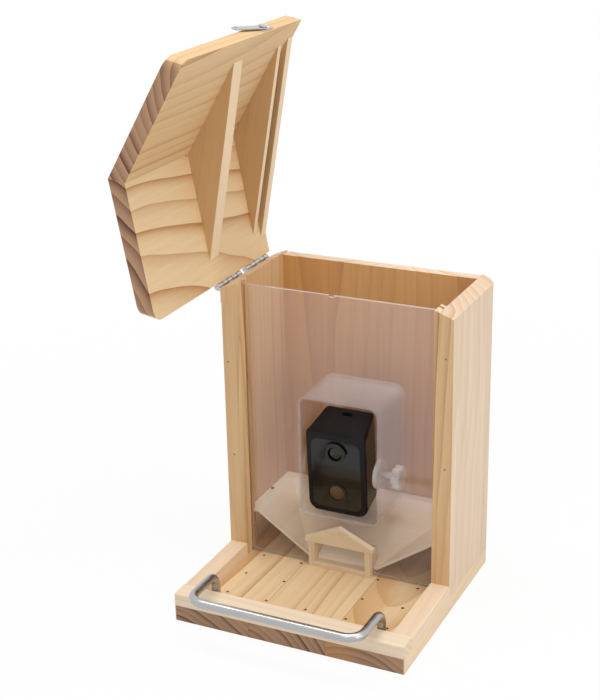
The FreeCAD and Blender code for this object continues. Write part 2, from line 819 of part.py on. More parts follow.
funnel_outer = hopper("funnel_outer", as_size(0), as_size(0))
funnel_inner = hopper("funnel_inner", sheet_z, as_size(REACH))
sheet_solid = cut("funnel_sheet", funnel_outer, funnel_inner)
rim_open = slope_half - RIM_LAP * sheet_z / side_fall
rim_open_back = slope_back - RIM_LAP * sheet_z / back_fall
rim_half = inner - size("funnel_fit")
rim_plate = block(
    "funnel_rim_plate", (-rim_half, rim_half), (funnel_front, funnel_back), (rim_z - sheet_z, rim_z)
)
rim_hole = block(
    "funnel_rim_hole",
    (-rim_open, rim_open),
    (funnel_front - REACH, rim_open_back),
    (rim_z - sheet_z - REACH, rim_z + REACH),
)
rim_ring = cut("funnel_rim", rim_plate, rim_hole)
nail_x = inner - size("cleat_wide") / 2
nail_spots = [
    (-nail_x, (bead_back + back_in) / 2),
    (nail_x, (bead_back + back_in) / 2),
    (as_size(0), back_in - size("cleat_wide") / 2),
]
funnel_cuts = []
for side, sign in (("left", -1), ("right", 1)):
    near_x, far_x = bead_in - size("funnel_fit"), half
    span = (near_x, far_x) if sign > 0 else (-far_x, -near_x)
    funnel_cuts.append(
        block(
            f"funnel_bead_notch_{side}",
            span,
            (funnel_front - REACH, bead_back + size("funnel_fit")),
            (rim_z - sheet_z - REACH, rim_z + REACH),
        )
    )
    near_x, far_x = post_in - size("port_fit"), gate
    span = (near_x, far_x) if sign > 0 else (-far_x, -near_x)
    funnel_cuts.append(
        block(
            f"funnel_post_notch_{side}",
            span,
            (funnel_front - REACH, port_back + size("port_fit")),
            (floor, rim_z),
        )
    )
nail_low = rim_z - size("nail_length")
for i, (x, y) in enumerate(nail_spots):
    span = (nail_low - REACH, rim_z + REACH)
    funnel_cuts.append(rod(f"funnel_nail_hole_{i}", size("nail_radius") + fit, x, y, span))
keep("seed_funnel", cut("seed_funnel", join("funnel_blank", sheet_solid, rim_ring), *funnel_cuts))

cleat_top = rim_z - sheet_z
cleat_low = cleat_top - size("cleat_height")
cleat_in = inner - size("cleat_wide")
for name, x, y, spot in (
    ("left_cleat", (-inner, -cleat_in), (bead_back, back_in), nail_spots[0]),
    ("right_cleat", (cleat_in, inner), (bead_back, back_in), nail_spots[1]),
    ("back_cleat", (-cleat_in, cleat_in), (back_in - size("cleat_wide"), back_in), nail_spots[2]),
):
    blank = block(name + "_blank", x, y, (cleat_low, cleat_top))
    hole = rod(name + "_hole", size("nail_radius") + fit, *spot, (nail_low - fit, cleat_top + REACH))
    keep(name, cut(name, blank, hole))
nails = []
for i, (x, y) in enumerate(nail_spots):
    head = rod(f"nail_head_{i}", size("nail_head_radius"), x, y, (rim_z, rim_z + size("nail_head_high")))
    shank = rod(f"nail_shank_{i}", size("nail_radius"), x, y, (nail_low, rim_z))
    nails.append(join(f"nail_{i}", head, shank))
keep("funnel_nails", group("funnel_nails", nails))

# Perch: round bar bent up from the base board, forward and across, screwed on from below.
bar = size("bar_dia") / 2
bar_z = floor + size("perch_rise")
bar_y = front - size("perch_reach")
leg_bend = size("leg_bend")
turn = size("corner_bend")


def bend(name, radius, spin, x, y, z):
    obj = doc.addObject("Part::Torus", name)
    obj.Angle3 = QUARTER
    obj.Placement = FreeCAD.Placement(FreeCAD.Vector(), spin)
    bind(obj, "Radius1", radius)
    bind(obj, "Radius2", bar)
    place(obj, x, y, z)
    return obj


# A third of a turn about the diagonal takes the ring's plane from XY to YZ.
UPRIGHT_BEND = FreeCAD.Rotation(FreeCAD.Vector(1, 1, 1), 4 * QUARTER / 3)
FLAT_BENDS = {
    -1: FreeCAD.Rotation(FreeCAD.Vector(0, 0, 1), 2 * QUARTER),
    1: FreeCAD.Rotation(FreeCAD.Vector(0, 0, 1), 3 * QUARTER),
}
bar_parts = [rod("perch_cross", bar, (-leg_x + turn, leg_x - turn), bar_y, bar_z)]
for side, sign in (("left", -1), ("right", 1)):
    x = sign * leg_x
    knee_y = leg_y - leg_bend
    knee_z = bar_z - leg_bend
    corner_x = x - sign * turn
    corner_y = bar_y + turn
    bar_parts.append(rod(f"perch_{side}_leg", bar, x, leg_y, (floor, knee_z)))
    bar_parts.append(bend(f"perch_{side}_knee", leg_bend, UPRIGHT_BEND, x, knee_y, knee_z))
    bar_parts.append(rod(f"perch_{side}_arm", bar, x, (corner_y, knee_y), bar_z))
    bar_parts.append(bend(f"perch_{side}_corner", turn, FLAT_BENDS[sign], corner_x, corner_y, bar_z))
perch_screw_top = floor + size("perch_bite")
perch_holes = [
    rod(f"perch_hole_{i}", size("screw_radius") + fit, x, y, (floor - REACH, perch_screw_top + fit))
    for i, (x, y) in enumerate(perch_screw_spots)
]
keep("perch_bar", cut("perch_bar", join("perch_blank", *bar_parts), *perch_holes))
keep("perch_screws", base_screws("perch_screws", perch_screw_spots, perch_screw_top))

# Lid, drawn closed: everything on it is then turned about the hinge axis to the open pose.
lid_front = front + size("lid_setback")
lid_back = lid_front + size("lid_length")
eave_z = wall_top + size("lid_gap") - size("roof_overhang") * slope
ridge_z = eave_z + eave * slope
board_z = size("roof_thick") / cosine(size("roof_pitch"))


def turn_open(obj):
    return turned(obj, ABOUT_Y, -size("lid_angle"), (hinge_x, 0, hinge_z))


latch_y = front + size("latch_start")
latch_pivot_y = latch_y + size("latch_pivot_in")
latch_pivot_z = eave_z + size("latch_pivot_up")
latch_screw_y = latch_y + size("latch_plate_wide") * LATCH_SCREWS_AT
latch_low = eave_z + (board_z - size("latch_plate_high")) / 2
latch_screw_zs = [latch_low + size("latch_plate_high") * part for part in HINGE_SCREWS_AT]
plate_out = eave + size("latch_thick")
for side, sign in (("left", -1), ("right", 1)):
    edge_x = sign * eave
    roof = prism(
        f"roof_{side}_blank",
        "Y",
        (lid_front, lid_back),
        [
            (edge_x, eave_z),
            (as_size(0), ridge_z),
            (as_size(0), ridge_z + board_z),
            (edge_x, eave_z + board_z),
        ],
    )
    soften(roof, size("lid_corner"), lambda e, x=edge_x: at_x(e, x) and at_y(e, lid_front))
    bite = size("small_screw_bite") + fit
    if side == "left":
        pilots = [
            rod(
                f"roof_left_pilot_{i}",
                size("small_screw_radius") + fit,
                (edge_x - REACH, edge_x - size("leaf_thick") + bite),
                y,
                hinge_z + leaf_mid,
            )
            for i, y in enumerate(hinge_screw_ys)
        ]
    else:
        pilots = [
            rod(
                f"roof_right_pilot_{i}",
                size("small_screw_radius") + fit,
                (plate_out - bite, plate_out + REACH),
                latch_screw_y,
                z,
            )
            for i, z in enumerate(latch_screw_zs)
        ]
    keep(f"roof_{side}", turn_open(cut(f"roof_{side}", roof, *pilots)))

for name, start, thick, rise in (
    ("front_gable", "front_gable_start", "front_gable_thick", "front_gable_rise"),
    ("inner_rear_gable", "inner_gable_start", "inner_gable_thick", "front_gable_rise"),
    ("outer_rear_gable", "outer_gable_start", "outer_gable_thick", "rear_gable_rise"),
):
    y = front + size(start)
    foot = eave - size(rise) / slope
    outline = [(-foot, eave_z + size(rise)), (foot, eave_z + size(rise)), (as_size(0), ridge_z)]
    keep(name, turn_open(prism(name, "Y", (y, y + size(thick)), outline)))


# Butt hinges: leaves with alternate knuckles on one pin, screwed to the wall and to the lid's edge.
def knuckle_span(start, index):
    pitch = size("hinge_length") / KNUCKLES
    half_gap = size("knuckle_gap") / 2
    return (start + pitch * index + half_gap, start + pitch * (index + 1) - half_gap)


def hinge_leaf(name, start, plate_x, web_x, plate_z, web_z, indexes, screw_z):
    span = (start, start + size("hinge_length"))
    parts = [block(name + "_plate", plate_x, span, plate_z)]
    for index in indexes:
        reach = knuckle_span(start, index)
        parts.append(block(f"{name}_web_{index}", web_x, reach, web_z))
        parts.append(rod(f"{name}_knuckle_{index}", barrel, hinge_x, reach, hinge_z))
    bore_span = (start - REACH, span[1] + REACH)
    holes = [rod(name + "_bore", size("pin_radius") + fit, hinge_x, bore_span, hinge_z)]
    for i, part in enumerate(HINGE_SCREWS_AT):
        holes.append(
            rod(
                f"{name}_hole_{i}",
                size("small_screw_radius") + fit,
                (plate_x[0] - REACH, plate_x[1] + REACH),
                start + size("hinge_length") * part,
                screw_z,
            )
        )
    return cut(name, join(name + "_blank", *parts), *holes)


def side_screws(name, seat, spots, sign):
    """Screws along X with their heads outside the seat on the side given by sign."""
    tip = seat - sign * size("small_screw_bite")
    crown = seat + sign * size("small_head_high")
    head_span = (seat, crown) if sign > 0 else (crown, seat)
    shank_span = (tip, seat) if sign > 0 else (seat, tip)
    screws = []
    for i, (y, z) in enumerate(spots):
        head = rod(f"{name}_head_{i}", size("small_head_radius"), head_span, y, z)
        shank = rod(f"{name}_shank_{i}", size("small_screw_radius"), shank_span, y, z)
        screws.append(join(f"{name}_{i}", head, shank))
    return group(name, screws)


wall_leaf_x = (-half - size("leaf_thick"), -half)
lid_leaf_x = (-eave - size("leaf_thick"), -eave)
wall_leaves = []
lid_leaves = []
pins = []
for i, start in enumerate(hinge_starts):
    wall_leaves.append(
        hinge_leaf(
            f"wall_leaf_{i}",
            start,
            wall_leaf_x,
            (hinge_x, -half),
            (hinge_z - leaf_near - size("leaf_height"), hinge_z - leaf_near),
            (hinge_z - leaf_near, hinge_z),
            range(0, KNUCKLES, 2),
            hinge_z - leaf_mid,
        )
    )
    lid_leaves.append(
        hinge_leaf(
            f"lid_leaf_{i}",
            start,
            lid_leaf_x,
            lid_leaf_x,
            (hinge_z + leaf_near, hinge_z + leaf_near + size("leaf_height")),
            (hinge_z, hinge_z + leaf_near),
            range(1, KNUCKLES, 2),
            hinge_z + leaf_mid,
        )
    )
    pin_span = (start, start + size("hinge_length"))
    pins.append(rod(f"hinge_pin_{i}", size("pin_radius"), hinge_x, pin_span, hinge_z))
keep("hinge_wall_leaves", group("hinge_wall_leaves", wall_leaves))
keep("hinge_pins", group("hinge_pins", pins))
keep("hinge_lid_leaves", turn_open(group("hinge_lid_leaves", lid_leaves)))
wall_spots = [(y, hinge_z - leaf_mid) for y in hinge_screw_ys]
lid_spots = [(y, hinge_z + leaf_mid) for y in hinge_screw_ys]
keep("hinge_wall_screws", side_screws("hinge_wall_screws", wall_leaf_x[0], wall_spots, -1))
keep("hinge_lid_screws", turn_open(side_screws("hinge_lid_screws", lid_leaf_x[0], lid_spots, -1)))

# Latch on the free eave: a plate, and an arm that turns on a rivet.
plate = block(
    "latch_plate_blank",
    (eave, plate_out),
    (latch_y, latch_y + size("latch_plate_wide")),
    (latch_low, latch_low + size("latch_plate_high")),
)
through_plate = (eave - REACH, plate_out + REACH)
latch_spots = [(latch_screw_y, z) for z in latch_screw_zs]
latch_pivot = (latch_pivot_y, latch_pivot_z)
plate_holes = [rod("latch_plate_bore", size("rivet_radius") + fit, through_plate, *latch_pivot)]
for i, (y, z) in enumerate(latch_spots):
    plate_holes.append(rod(f"latch_plate_hole_{i}", size("small_screw_radius") + fit, through_plate, y, z))
keep("latch_plate", turn_open(cut("latch_plate", plate, *plate_holes)))
keep("latch_screws", turn_open(side_screws("latch_screws", plate_out, latch_spots, 1)))
arm_x = (plate_out + size("rivet_gap"), plate_out + size("rivet_gap") + size("latch_thick"))
rivet_out = arm_x[1] + size("rivet_gap")
rivet_head = (rivet_out, rivet_out + size("latch_thick"))
keep(
    "latch_rivet",
    turn_open(
        join(
            "latch_rivet",
            rod("latch_rivet_shank", size("rivet_radius"), (eave, rivet_out), *latch_pivot),
            rod("latch_rivet_head", size("rivet_head_radius"), rivet_head, *latch_pivot),
        )
    ),
)
arm_half = size("latch_arm_wide") / 2
arm_tip_y = latch_pivot_y - size("latch_arm_reach")
arm_z = (latch_pivot_z - arm_half, latch_pivot_z + arm_half)
through_arm = (arm_x[0] - REACH, arm_x[1] + REACH)
arm = cut(
    "latch_arm_flat",
    join(
        "latch_arm_blank",
        block("latch_arm_bar", arm_x, (arm_tip_y, latch_pivot_y), arm_z),
        rod("latch_arm_tip", arm_half, arm_x, arm_tip_y, latch_pivot_z),
        rod("latch_arm_root", arm_half, arm_x, *latch_pivot),
    ),
    rod("latch_arm_bore", size("rivet_radius") + fit, through_arm, *latch_pivot),
    rod("latch_arm_hole", size("latch_hole_radius"), through_arm, arm_tip_y, latch_pivot_z),
)
turned(arm, ABOUT_X, -size("latch_tilt"), (0, *latch_pivot))
keep("latch_arm", turn_open(group("latch_arm", [arm])))

# Camera: hollow housing with a face plate, lens, hood and motion sensor, battery and circuit inside.
# It is drawn upright on its front foot and then leaned forward until its wedge base lies flat.
camera_front = window_back + size("camera_setback")
camera_rear = camera_front + size("camera_depth")
camera_low = cut_low + size("camera_fit")
base_fall = size("camera_depth") * tangent(size("camera_lean"))


def lean(obj):
    return turned(obj, ABOUT_X, size("camera_lean"), (0, camera_front, camera_low))


foot_z = camera_low - base_fall
crown_z = camera_low + size("camera_rear_height")
brow_z = camera_low + size("camera_front_height")
housing = prism(
    "camera_housing",
    "Z",
    (foot_z, crown_z),
    [
        (camera_left, camera_front),
        (camera_right, camera_front),
        (camera_right - size("camera_taper"), camera_rear),
        (camera_left + size("camera_taper"), camera_rear),
    ],
)
for corners in (
    [(camera_front, brow_z), (camera_rear, crown_z), (camera_front, crown_z)],
    [(camera_front, camera_low), (camera_front, foot_z), (camera_rear, foot_z)],
):
    wedge = polygon(housing, "X", camera_left, corners)
    pocket(housing, wedge, "X", size("camera_width"))
top_rise = (crown_z - brow_z) / size("camera_depth")


def on_side(edge):
    inset = size("camera_taper").value / size("camera_depth").value
    reach = size("camera_width").value / 2
    return all(
        abs(abs(point.X - camera_x.value) - reach + (point.Y - camera_front.value) * inset) < TOUCH
        for point in edge.Vertexes
    )


def lower_side_edge(edge):
    return on_side(edge) and edge.BoundBox.YLength > TOUCH and edge.BoundBox.ZMax < camera_low.value + TOUCH


def upper_edge(edge):
    return not at_y(edge, camera_front) and all(
        abs(point.Z - brow_z.value - (point.Y - camera_front.value) * top_rise.value) < TOUCH
        for point in edge.Vertexes
    )


soften(housing, size("camera_corner"), lower_side_edge)
soften(housing, size("camera_rear_round"), lambda e: on_side(e) and at_y(e, camera_rear))
soften(housing, size("camera_top_round"), upper_edge)
soften(housing, size("camera_front_round"), lambda e: at_y(e, camera_front))
face_mid = camera_low + size("camera_front_height") / 2


def centred(width, height):
    x = (camera_x - width / 2, camera_x + width / 2)
    z = (face_mid - height / 2, face_mid + height / 2)
    return x, z


recess_x, recess_z = centred(size("face_width"), size("face_height"))
pocket(
    housing,
    rounded(housing, "Y", camera_front, recess_x, recess_z, size("face_corner")),
    "Y",
    size("face_thick"),
)
hollow_x, hollow_z = centred(size("cavity_width"), size("cavity_height"))
hollow_front = camera_front + size("face_thick")
pocket(
    housing,
    rounded(housing, "Y", hollow_front, hollow_x, hollow_z, size("cavity_corner")),
    "Y",
    size("cavity_depth"),
)
slot_y = camera_front + size("slot_back")
slot_top = brow_z + size("slot_back") * top_rise
slot_x = camera_x + size("slot_shift")
slot = block(
    "camera_slot",
    (slot_x - size("slot_wide") / 2, slot_x + size("slot_wide") / 2),
    (slot_y, slot_y + size("slot_long")),
    (slot_top - size("slot_deep"), slot_top + REACH),
)
keep("camera_shell", lean(cut("camera_shell", housing, slot)))

trim = size("face_fit")
plate_x, plate_z = centred(size("face_width") - 2 * trim, size("face_height") - 2 * trim)
face_front = camera_front + trim
face_blank = rounded_prism(
    "camera_face_blank", "Y", (face_front, hollow_front), plate_x, plate_z, size("face_corner") - trim
)
lens_z = camera_low + size("lens_up")
sensor_z = camera_low + size("sensor_up")
face_span = (camera_front - REACH, hollow_front + REACH)
bezel = rod(
    "camera_bezel",
    size("sensor_radius") + size("bezel_wall"),
    camera_x,
    (face_front - size("bezel_proud"), hollow_front),
    sensor_z,
)
face = cut(
    "camera_face",
    join("camera_face_moulding", face_blank, bezel),
    rod("camera_lens_hole", size("ring_radius") + fit, camera_x, face_span, lens_z),
    rod("camera_sensor_hole", size("sensor_radius") + fit, camera_x, face_span, sensor_z),
)
keep("camera_face", lean(face))
ring_front = face_front - size("ring_proud")
ring_in = size("ring_radius") - size("ring_wall")
ring = cut(
    "camera_lens_ring",
    rod("lens_ring_blank", size("ring_radius"), camera_x, (ring_front, hollow_front), lens_z),
    rod("lens_ring_hole", ring_in, camera_x, face_span, lens_z),
)
keep("camera_lens_ring", lean(ring))


def dome(name, radius, rise, brim, deep, z):
    """A shallow ball cap on a round stem, bulging to the front from the brim."""
    ball_radius = (radius * radius + rise * rise) / (2 * rise)
    ball = doc.addObject("Part::Sphere", name + "_ball")
    bind(ball, "Radius", ball_radius)
    place(ball, camera_x, brim - rise + ball_radius, z)
    stem = rod(name + "_stem", radius, camera_x, (brim - rise - REACH, deep), z)
    return overlap(name, ball, stem)


lens_brim = face_front + size("lens_rise") / 2
lens = dome("camera_lens", ring_in - fit, size("lens_rise"), lens_brim, hollow_front, lens_z)
keep("camera_lens", lean(lens))
sensor = dome("camera_sensor", size("sensor_radius"), size("sensor_rise"), face_front, hollow_front, sensor_z)
keep("camera_sensor", lean(sensor))
hood_front = face_front - size("hood_reach")
hood_span = (hood_front, face_front)
hood_ring = cut(
    "camera_hood_ring",
    rod("camera_hood_blank", size("hood_radius"), camera_x, hood_span, lens_z),
    rod("camera_hood_hole", size("hood_radius") - size("hood_wall"), camera_x, face_span, lens_z),
)
hood_reach = size("hood_radius") + REACH
hood = cut(
    "camera_hood",
    hood_ring,
    block(
        "camera_hood_lower",
        (camera_x - hood_reach, camera_x + hood_reach),
        (hood_front - REACH, face_front + REACH),
        (lens_z - hood_reach, lens_z + size("hood_wall")),
    ),
)
keep("camera_hood", lean(hood))
hollow_back = hollow_front + size("cavity_depth")
battery_front = hollow_back - size("battery_thick")
margin = size("inner_margin")
cell_x = (hollow_x[0] + margin, hollow_x[1] - margin)
cell_z = (hollow_z[0] + margin, hollow_z[1] - margin)
circuit_front = battery_front - size("circuit_thick")
for name, span in (
    ("camera_battery", (battery_front, hollow_back)),
    ("camera_board", (circuit_front, battery_front)),
):
    keep(name, lean(group(name, [block(name + "_block", cell_x, span, cell_z)])))

# Clamp: a pad on the tip of a screw through the box's right wall, turned by a lobed knob.
pad_left = camera_right + size("clamp_open")
pad_right = pad_left + size("pad_thick")
socket = pad_right - size("tip_length") - size("tip_gap")
keep(
    "clamp_pad",
    cut(
        "clamp_pad",
        rod("clamp_pad_disc", size("pad_radius"), (pad_left, pad_right), clamp_y, clamp_z),
        rod("clamp_pad_socket", size("tip_radius") + fit, (socket, pad_right + REACH), clamp_y, clamp_z),
    ),
)
shoulder = pad_right + size("tip_gap")
knob_in = cut_x[1] + wall + size("clamp_open")
screw_end = knob_in + size("knob_socket")
keep(
    "clamp_screw",
    join(
        "clamp_screw",
        rod("clamp_screw_shank", size("clamp_screw_radius"), (shoulder, screw_end), clamp_y, clamp_z),
        rod("clamp_screw_tip", size("tip_radius"), (socket + size("tip_gap"), shoulder), clamp_y, clamp_z),
    ),
)
knob_span = (knob_in, knob_in + size("knob_thick"))
socket_span = (knob_in - REACH, screw_end)
knob_parts = [rod("clamp_knob_hub", size("knob_hub_radius"), knob_span, clamp_y, clamp_z)]
for i in range(KNOB_LOBES):
    angle = as_size(4 * QUARTER / KNOB_LOBES * i)
    y = clamp_y + size("knob_lobe_ring") * cosine(angle)
    z = clamp_z + size("knob_lobe_ring") * cosine(angle - QUARTER)
    knob_parts.append(rod(f"clamp_knob_lobe_{i}", size("knob_lobe_radius"), knob_span, y, z))
keep(
    "clamp_knob",
    cut(
        "clamp_knob",
        join("clamp_knob_blank", *knob_parts),
        rod("clamp_knob_socket", size("clamp_screw_radius") + fit, socket_span, clamp_y, clamp_z),
    ),
)

doc.recompute()
for obj in doc.Objects:
    if "Invalid" in obj.State or "Error" in obj.State:
        raise RuntimeError(f"{obj.Label} did not build: {obj.State}")
os.makedirs("parts", exist_ok=True)
for obj in nodes:
    if obj.Shape.isNull() or not obj.Shape.isValid():
        raise RuntimeError(f"{obj.Label} is not a valid solid")
    obj.Shape.exportStep(f"parts/{obj.Label}.step")
print(len(nodes), "nodes written")
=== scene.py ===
"""Bird feeder with a camera: a pine box with a clear window, a steel perch and a hinged lid."""
import math

import bpy
from mathutils import Matrix, Vector


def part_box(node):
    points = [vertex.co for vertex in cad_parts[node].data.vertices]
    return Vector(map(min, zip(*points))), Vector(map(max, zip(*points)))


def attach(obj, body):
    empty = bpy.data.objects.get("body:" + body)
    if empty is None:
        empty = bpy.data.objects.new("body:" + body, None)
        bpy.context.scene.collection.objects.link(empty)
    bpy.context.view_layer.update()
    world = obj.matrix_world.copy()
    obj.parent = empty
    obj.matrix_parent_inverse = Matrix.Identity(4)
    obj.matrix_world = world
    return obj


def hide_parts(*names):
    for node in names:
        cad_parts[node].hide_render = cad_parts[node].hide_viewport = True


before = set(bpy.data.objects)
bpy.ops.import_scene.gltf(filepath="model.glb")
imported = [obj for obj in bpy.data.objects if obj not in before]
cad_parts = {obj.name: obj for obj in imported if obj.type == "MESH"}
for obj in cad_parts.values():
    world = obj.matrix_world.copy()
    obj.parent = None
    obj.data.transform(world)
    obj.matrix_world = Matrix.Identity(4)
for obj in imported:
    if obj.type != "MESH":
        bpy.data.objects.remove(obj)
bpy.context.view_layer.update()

# Base board: three pine staves glued edge to edge, with the grain running front to back.
# The rings show on its sawn front end, and drilled holes let rain out of the tray.
# The right-hand stave has amber heartwood. Sizes are in millimetres, and times MM in metres.
MM = 0.001
RIGHT = Vector((1, 0, 0))
REAR = Vector((0, 1, 0))
UP = Vector((0, 0, 1))


class Flow:
    """A socket in a finish's node tree. Arithmetic on it adds Math nodes."""

    def __init__(self, tree, socket=None):
        self.tree = tree
        self.socket = socket

    def fill(self, inputs, feeds):
        """Set or link input sockets."""
        for name, value in feeds.items():
            if isinstance(value, Flow):
                self.tree.links.new(value.socket, inputs[name])
            else:
                inputs[name].default_value = value

    def node(self, kind, settings=None, feeds=None, out=0):
        """Add a node, apply its settings, then set or link its sockets, and give one output."""
        made = self.tree.nodes.new(kind)
        for name, value in (settings or {}).items():
            setattr(made, name, value)
        self.fill(made.inputs, feeds or {})
        return Flow(self.tree, made.outputs[out])

    def maths(self, operation, *others):
        feeds = dict(enumerate((self, *others)))
        return self.node("ShaderNodeMath", {"operation": operation}, feeds)

    def held(self):
        """The value held between 0 and 1."""
        return self.maths("MAXIMUM", 0.0).maths("MINIMUM", 1.0)

    def __abs__(self):
        return self.maths("ABSOLUTE")

    def __add__(self, other):
        return self.maths("ADD", other)

    def __sub__(self, other):
        return self.maths("SUBTRACT", other)

    def __rsub__(self, other):
        return self * -1 + other

    def __mul__(self, other):
        return self.maths("MULTIPLY", other)

    def __truediv__(self, other):
        return self.maths("DIVIDE", other)

    def __pow__(self, other):
        return self.maths("POWER", other)

    def __lt__(self, other):
        return self.maths("LESS_THAN", other)

    def __gt__(self, other):
        return self.maths("GREATER_THAN", other)

    __radd__ = __add__
    __rmul__ = __mul__


def paint(red, green, blue):
    """A colour from its screen values of 0 to 255."""
    shares = [value / 255 for value in (red, green, blue)]
    return [s / 12.92 if s <= 0.04045 else ((s + 0.055) / 1.055) ** 2.4 for s in shares] + [1]


def new_finish(name):
    """An empty finish: the material, a starting flow and its surface shader."""
    material = bpy.data.materials.new(name)
    material.use_nodes = True
    return material, Flow(material.node_tree), material.node_tree.nodes["Principled BSDF"]


def feed(flow, shader, **sockets):
    """Set or link sockets of a surface shader, named with _ for each space."""
    flow.fill(shader.inputs, {name.replace("_", " "): value for name, value in sockets.items()})


def along(vector, direction):
    """How far a vector flow reaches in a direction."""
    settings = {"operation": "DOT_PRODUCT"}
    return vector.node("ShaderNodeVectorMath", settings, {0: vector, 1: direction}, out=1)


def blend(share, first, second):
    """A colour between two colours: sockets 0, 6 and 7 are a Mix node's share and its colours."""
    feeds = {0: share, 6: first, 7: second}
    return share.node("ShaderNodeMix", {"data_type": "RGBA"}, feeds, out=2)


CLOUD_STEP = (1.0, 0.7, 1.3)


def cloud(place, reach, detail=2.0, seed=0.0):
    """Soft noise from 0 to 1 that reaches so far along each axis of a place in millimetres."""
    shape = [1 / length for length in reach]
    feeds = {"Vector": place, "Scale": shape, "Location": [seed * step for step in CLOUD_STEP]}
    stretched = place.node("ShaderNodeMapping", None, feeds)
    feeds = {"Vector": stretched, "Scale": 1.0, "Detail": detail}
    return place.node("ShaderNodeTexNoise", None, feeds)


def relief(flow, height, strength, depth):
    """Normals of a surface raised by a height, to a depth in millimetres."""
    feeds = {"Strength": strength, "Distance": depth * MM, "Height": height}
    return flow.node("ShaderNodeBump", None, feeds)


# Reach of the wood's unevenness across, into and along the grain, in millimetres.
WANDER = (45, 45, 170)
LONG_WAVE = (300, 300, 300)
FIBRE = (0.7, 0.7, 34)
STREAK = (3.2, 3.2, 120)
BROAD = (45, 45, 240)

# How much each of them tells in the wood's warmth, darkness, roughness and relief.
BROAD_WARMTH = 0.8
STREAK_WARMTH = 0.7
COOLNESS = 0.3
FIBRE_SHARE = 0.4
PLANED_ROUGH = 0.5
FIBRE_ROUGH = 0.16
LATE_GLOSS = 0.1
FIBRE_RISE = 0.6
LATE_SINK = 0.25

SAWN_ENDS = (paint(200, 156, 120), paint(106, 64, 40))
END_CRISP = 1.6
END_EVEN = 0.1
END_FIGURE = 1.2
END_FACING = 0.75
SKIN_FACING = 0.6
KNOT_LENGTH = 1.7
KNOT_SWELL = 1.3


def pine(node, grain, face, heart, tones, *, ring, figure, seed, lean=0.02, sway=2.0,
         ends=SAWN_ENDS, skin=None, crisp=2.4, even=0.15, knots=(), patch=None):
    """Solid pine: rings about a heart line beside the board, so that face and end grain agree.

    heart: the heart line's place from the board's middle, across the face and into it, in mm.
    tones: pale wood, warm wood, and the late wood that ends each ring.
    ring: how wide a ring is, in mm. figure: how dark its late wood is on a planed face.
    lean: how fast the heart line leaves the board's depth along the grain.
    heart, lean and figure may each be a function of the place across the board.
    sway: how far the rings wander, in mm. seed: which piece of the noise the board is cut from.
    ends: early and late wood on the sawn ends.
    skin: a direction, and the tones of the faces that look that way.
    crisp: how sharply each ring darkens towards its outer edge.
    even: how dark the faintest ring is, beside the darkest.
    knots: each one's place across the face and along the grain, its reach and how dark it is.
    patch: a function that paints over the finished colour.
    """
    material, flow, shader = new_finish(node + "_pine")
    low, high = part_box(node)
    middle = (low + high) / 2
    spot = flow.node("ShaderNodeTexCoord", out="Object")
    facing = flow.node("ShaderNodeTexCoord", out="Normal")
    axes = (face, grain.cross(face), grain)
    across, deep, run = ((along(spot, axis) - middle.dot(axis)) / MM for axis in axes)
    place = flow.node("ShaderNodeCombineXYZ", None, {"X": across, "Y": deep, "Z": run})

    def here(value):
        return value(across) if callable(value) else value

    sideways = across - here(heart[0])
    inward = deep - here(heart[1]) + run * here(lean)
    wander = (cloud(place, WANDER, detail=1.5, seed=seed) - 0.5) * sway * 2
    radius = (sideways * sideways + inward * inward).maths("SQRT") + wander
    stain = 0.0
    for at, up, reach, dark in knots:
        aside = (across - at) / reach
        ahead = (run - up) / (reach * KNOT_LENGTH)
        swell = ((aside * aside + ahead * ahead) * -1).maths("EXPONENT")
        radius = radius + swell * ring * KNOT_SWELL
        stain = stain + swell ** 3 * dark

    phase = radius / ring + cloud(place, LONG_WAVE, detail=0.0, seed=seed + 5) * 2
    year = {"W": phase.maths("FLOOR")}
    count = flow.node("ShaderNodeTexWhiteNoise", {"noise_dimensions": "1D"}, year)
    strength = even + (1 - even) * count * count
    growth = phase.maths("FRACT")
    lines = growth ** crisp * strength
    fibre = cloud(place, FIBRE, detail=3.0, seed=seed + 9)
    streak = cloud(place, STREAK, detail=2.0, seed=seed + 7)
    broad = cloud(place, BROAD, detail=1.0, seed=seed + 3)
    hairs = (fibre - 0.5) * FIBRE_SHARE
    warmth = broad * BROAD_WARMTH + streak * STREAK_WARMTH - COOLNESS
    darkness = lines * here(figure) + hairs + stain

    def planed(pale, warm, late):
        return blend(darkness, blend(warmth, pale, warm), late)

    timber = planed(*tones)
    # Faces that look along skin's direction take other tones: the walls use this for painted light
    # on their outer faces.
    if skin:
        outward = along(facing, skin[0]) > SKIN_FACING
        timber = blend(outward, timber, planed(*skin[1]))
    end_lines = growth ** END_CRISP * (END_EVEN + strength) * END_FIGURE
    end_grain = blend(end_lines + hairs, *ends)
    sawn = abs(along(facing, grain)) > END_FACING
    colour = blend(sawn, timber, end_grain)
    feed(
        flow,
        shader,
        Base_Color=patch(place, across, colour) if patch else colour,
        Roughness=PLANED_ROUGH + FIBRE_ROUGH * fibre - LATE_GLOSS * lines,
        Normal=relief(flow, fibre * FIBRE_RISE - lines * LATE_SINK, strength=0.2, depth=0.25),
    )
    return material


WELD_GAP = 0.002
SHARP_BEND = math.radians(40)
FACE_WEIGHT = 80


def dress(node, material, ease=0.0):
    """Give a node its finish, and soften its sharp edges by ease millimetres."""
    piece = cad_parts[node]
    for slot in piece.material_slots:
        slot.material = material
    if ease:
        piece.modifiers.new("weld", "WELD").merge_threshold = WELD_GAP * MM
        bevel = piece.modifiers.new("ease", "BEVEL")
        bevel.width = ease * MM
        bevel.segments = 2
        bevel.limit_method = "ANGLE"
        bevel.angle_limit = SHARP_BEND
        piece.modifiers.new("shade", "WEIGHTED_NORMAL").weight = FACE_WEIGHT


def board(node, *cut, ease, **look):
    """Dress a node in pine of its own: how it is cut and how it looks go to pine."""
    dress(node, pine(node, *cut, **look), ease)


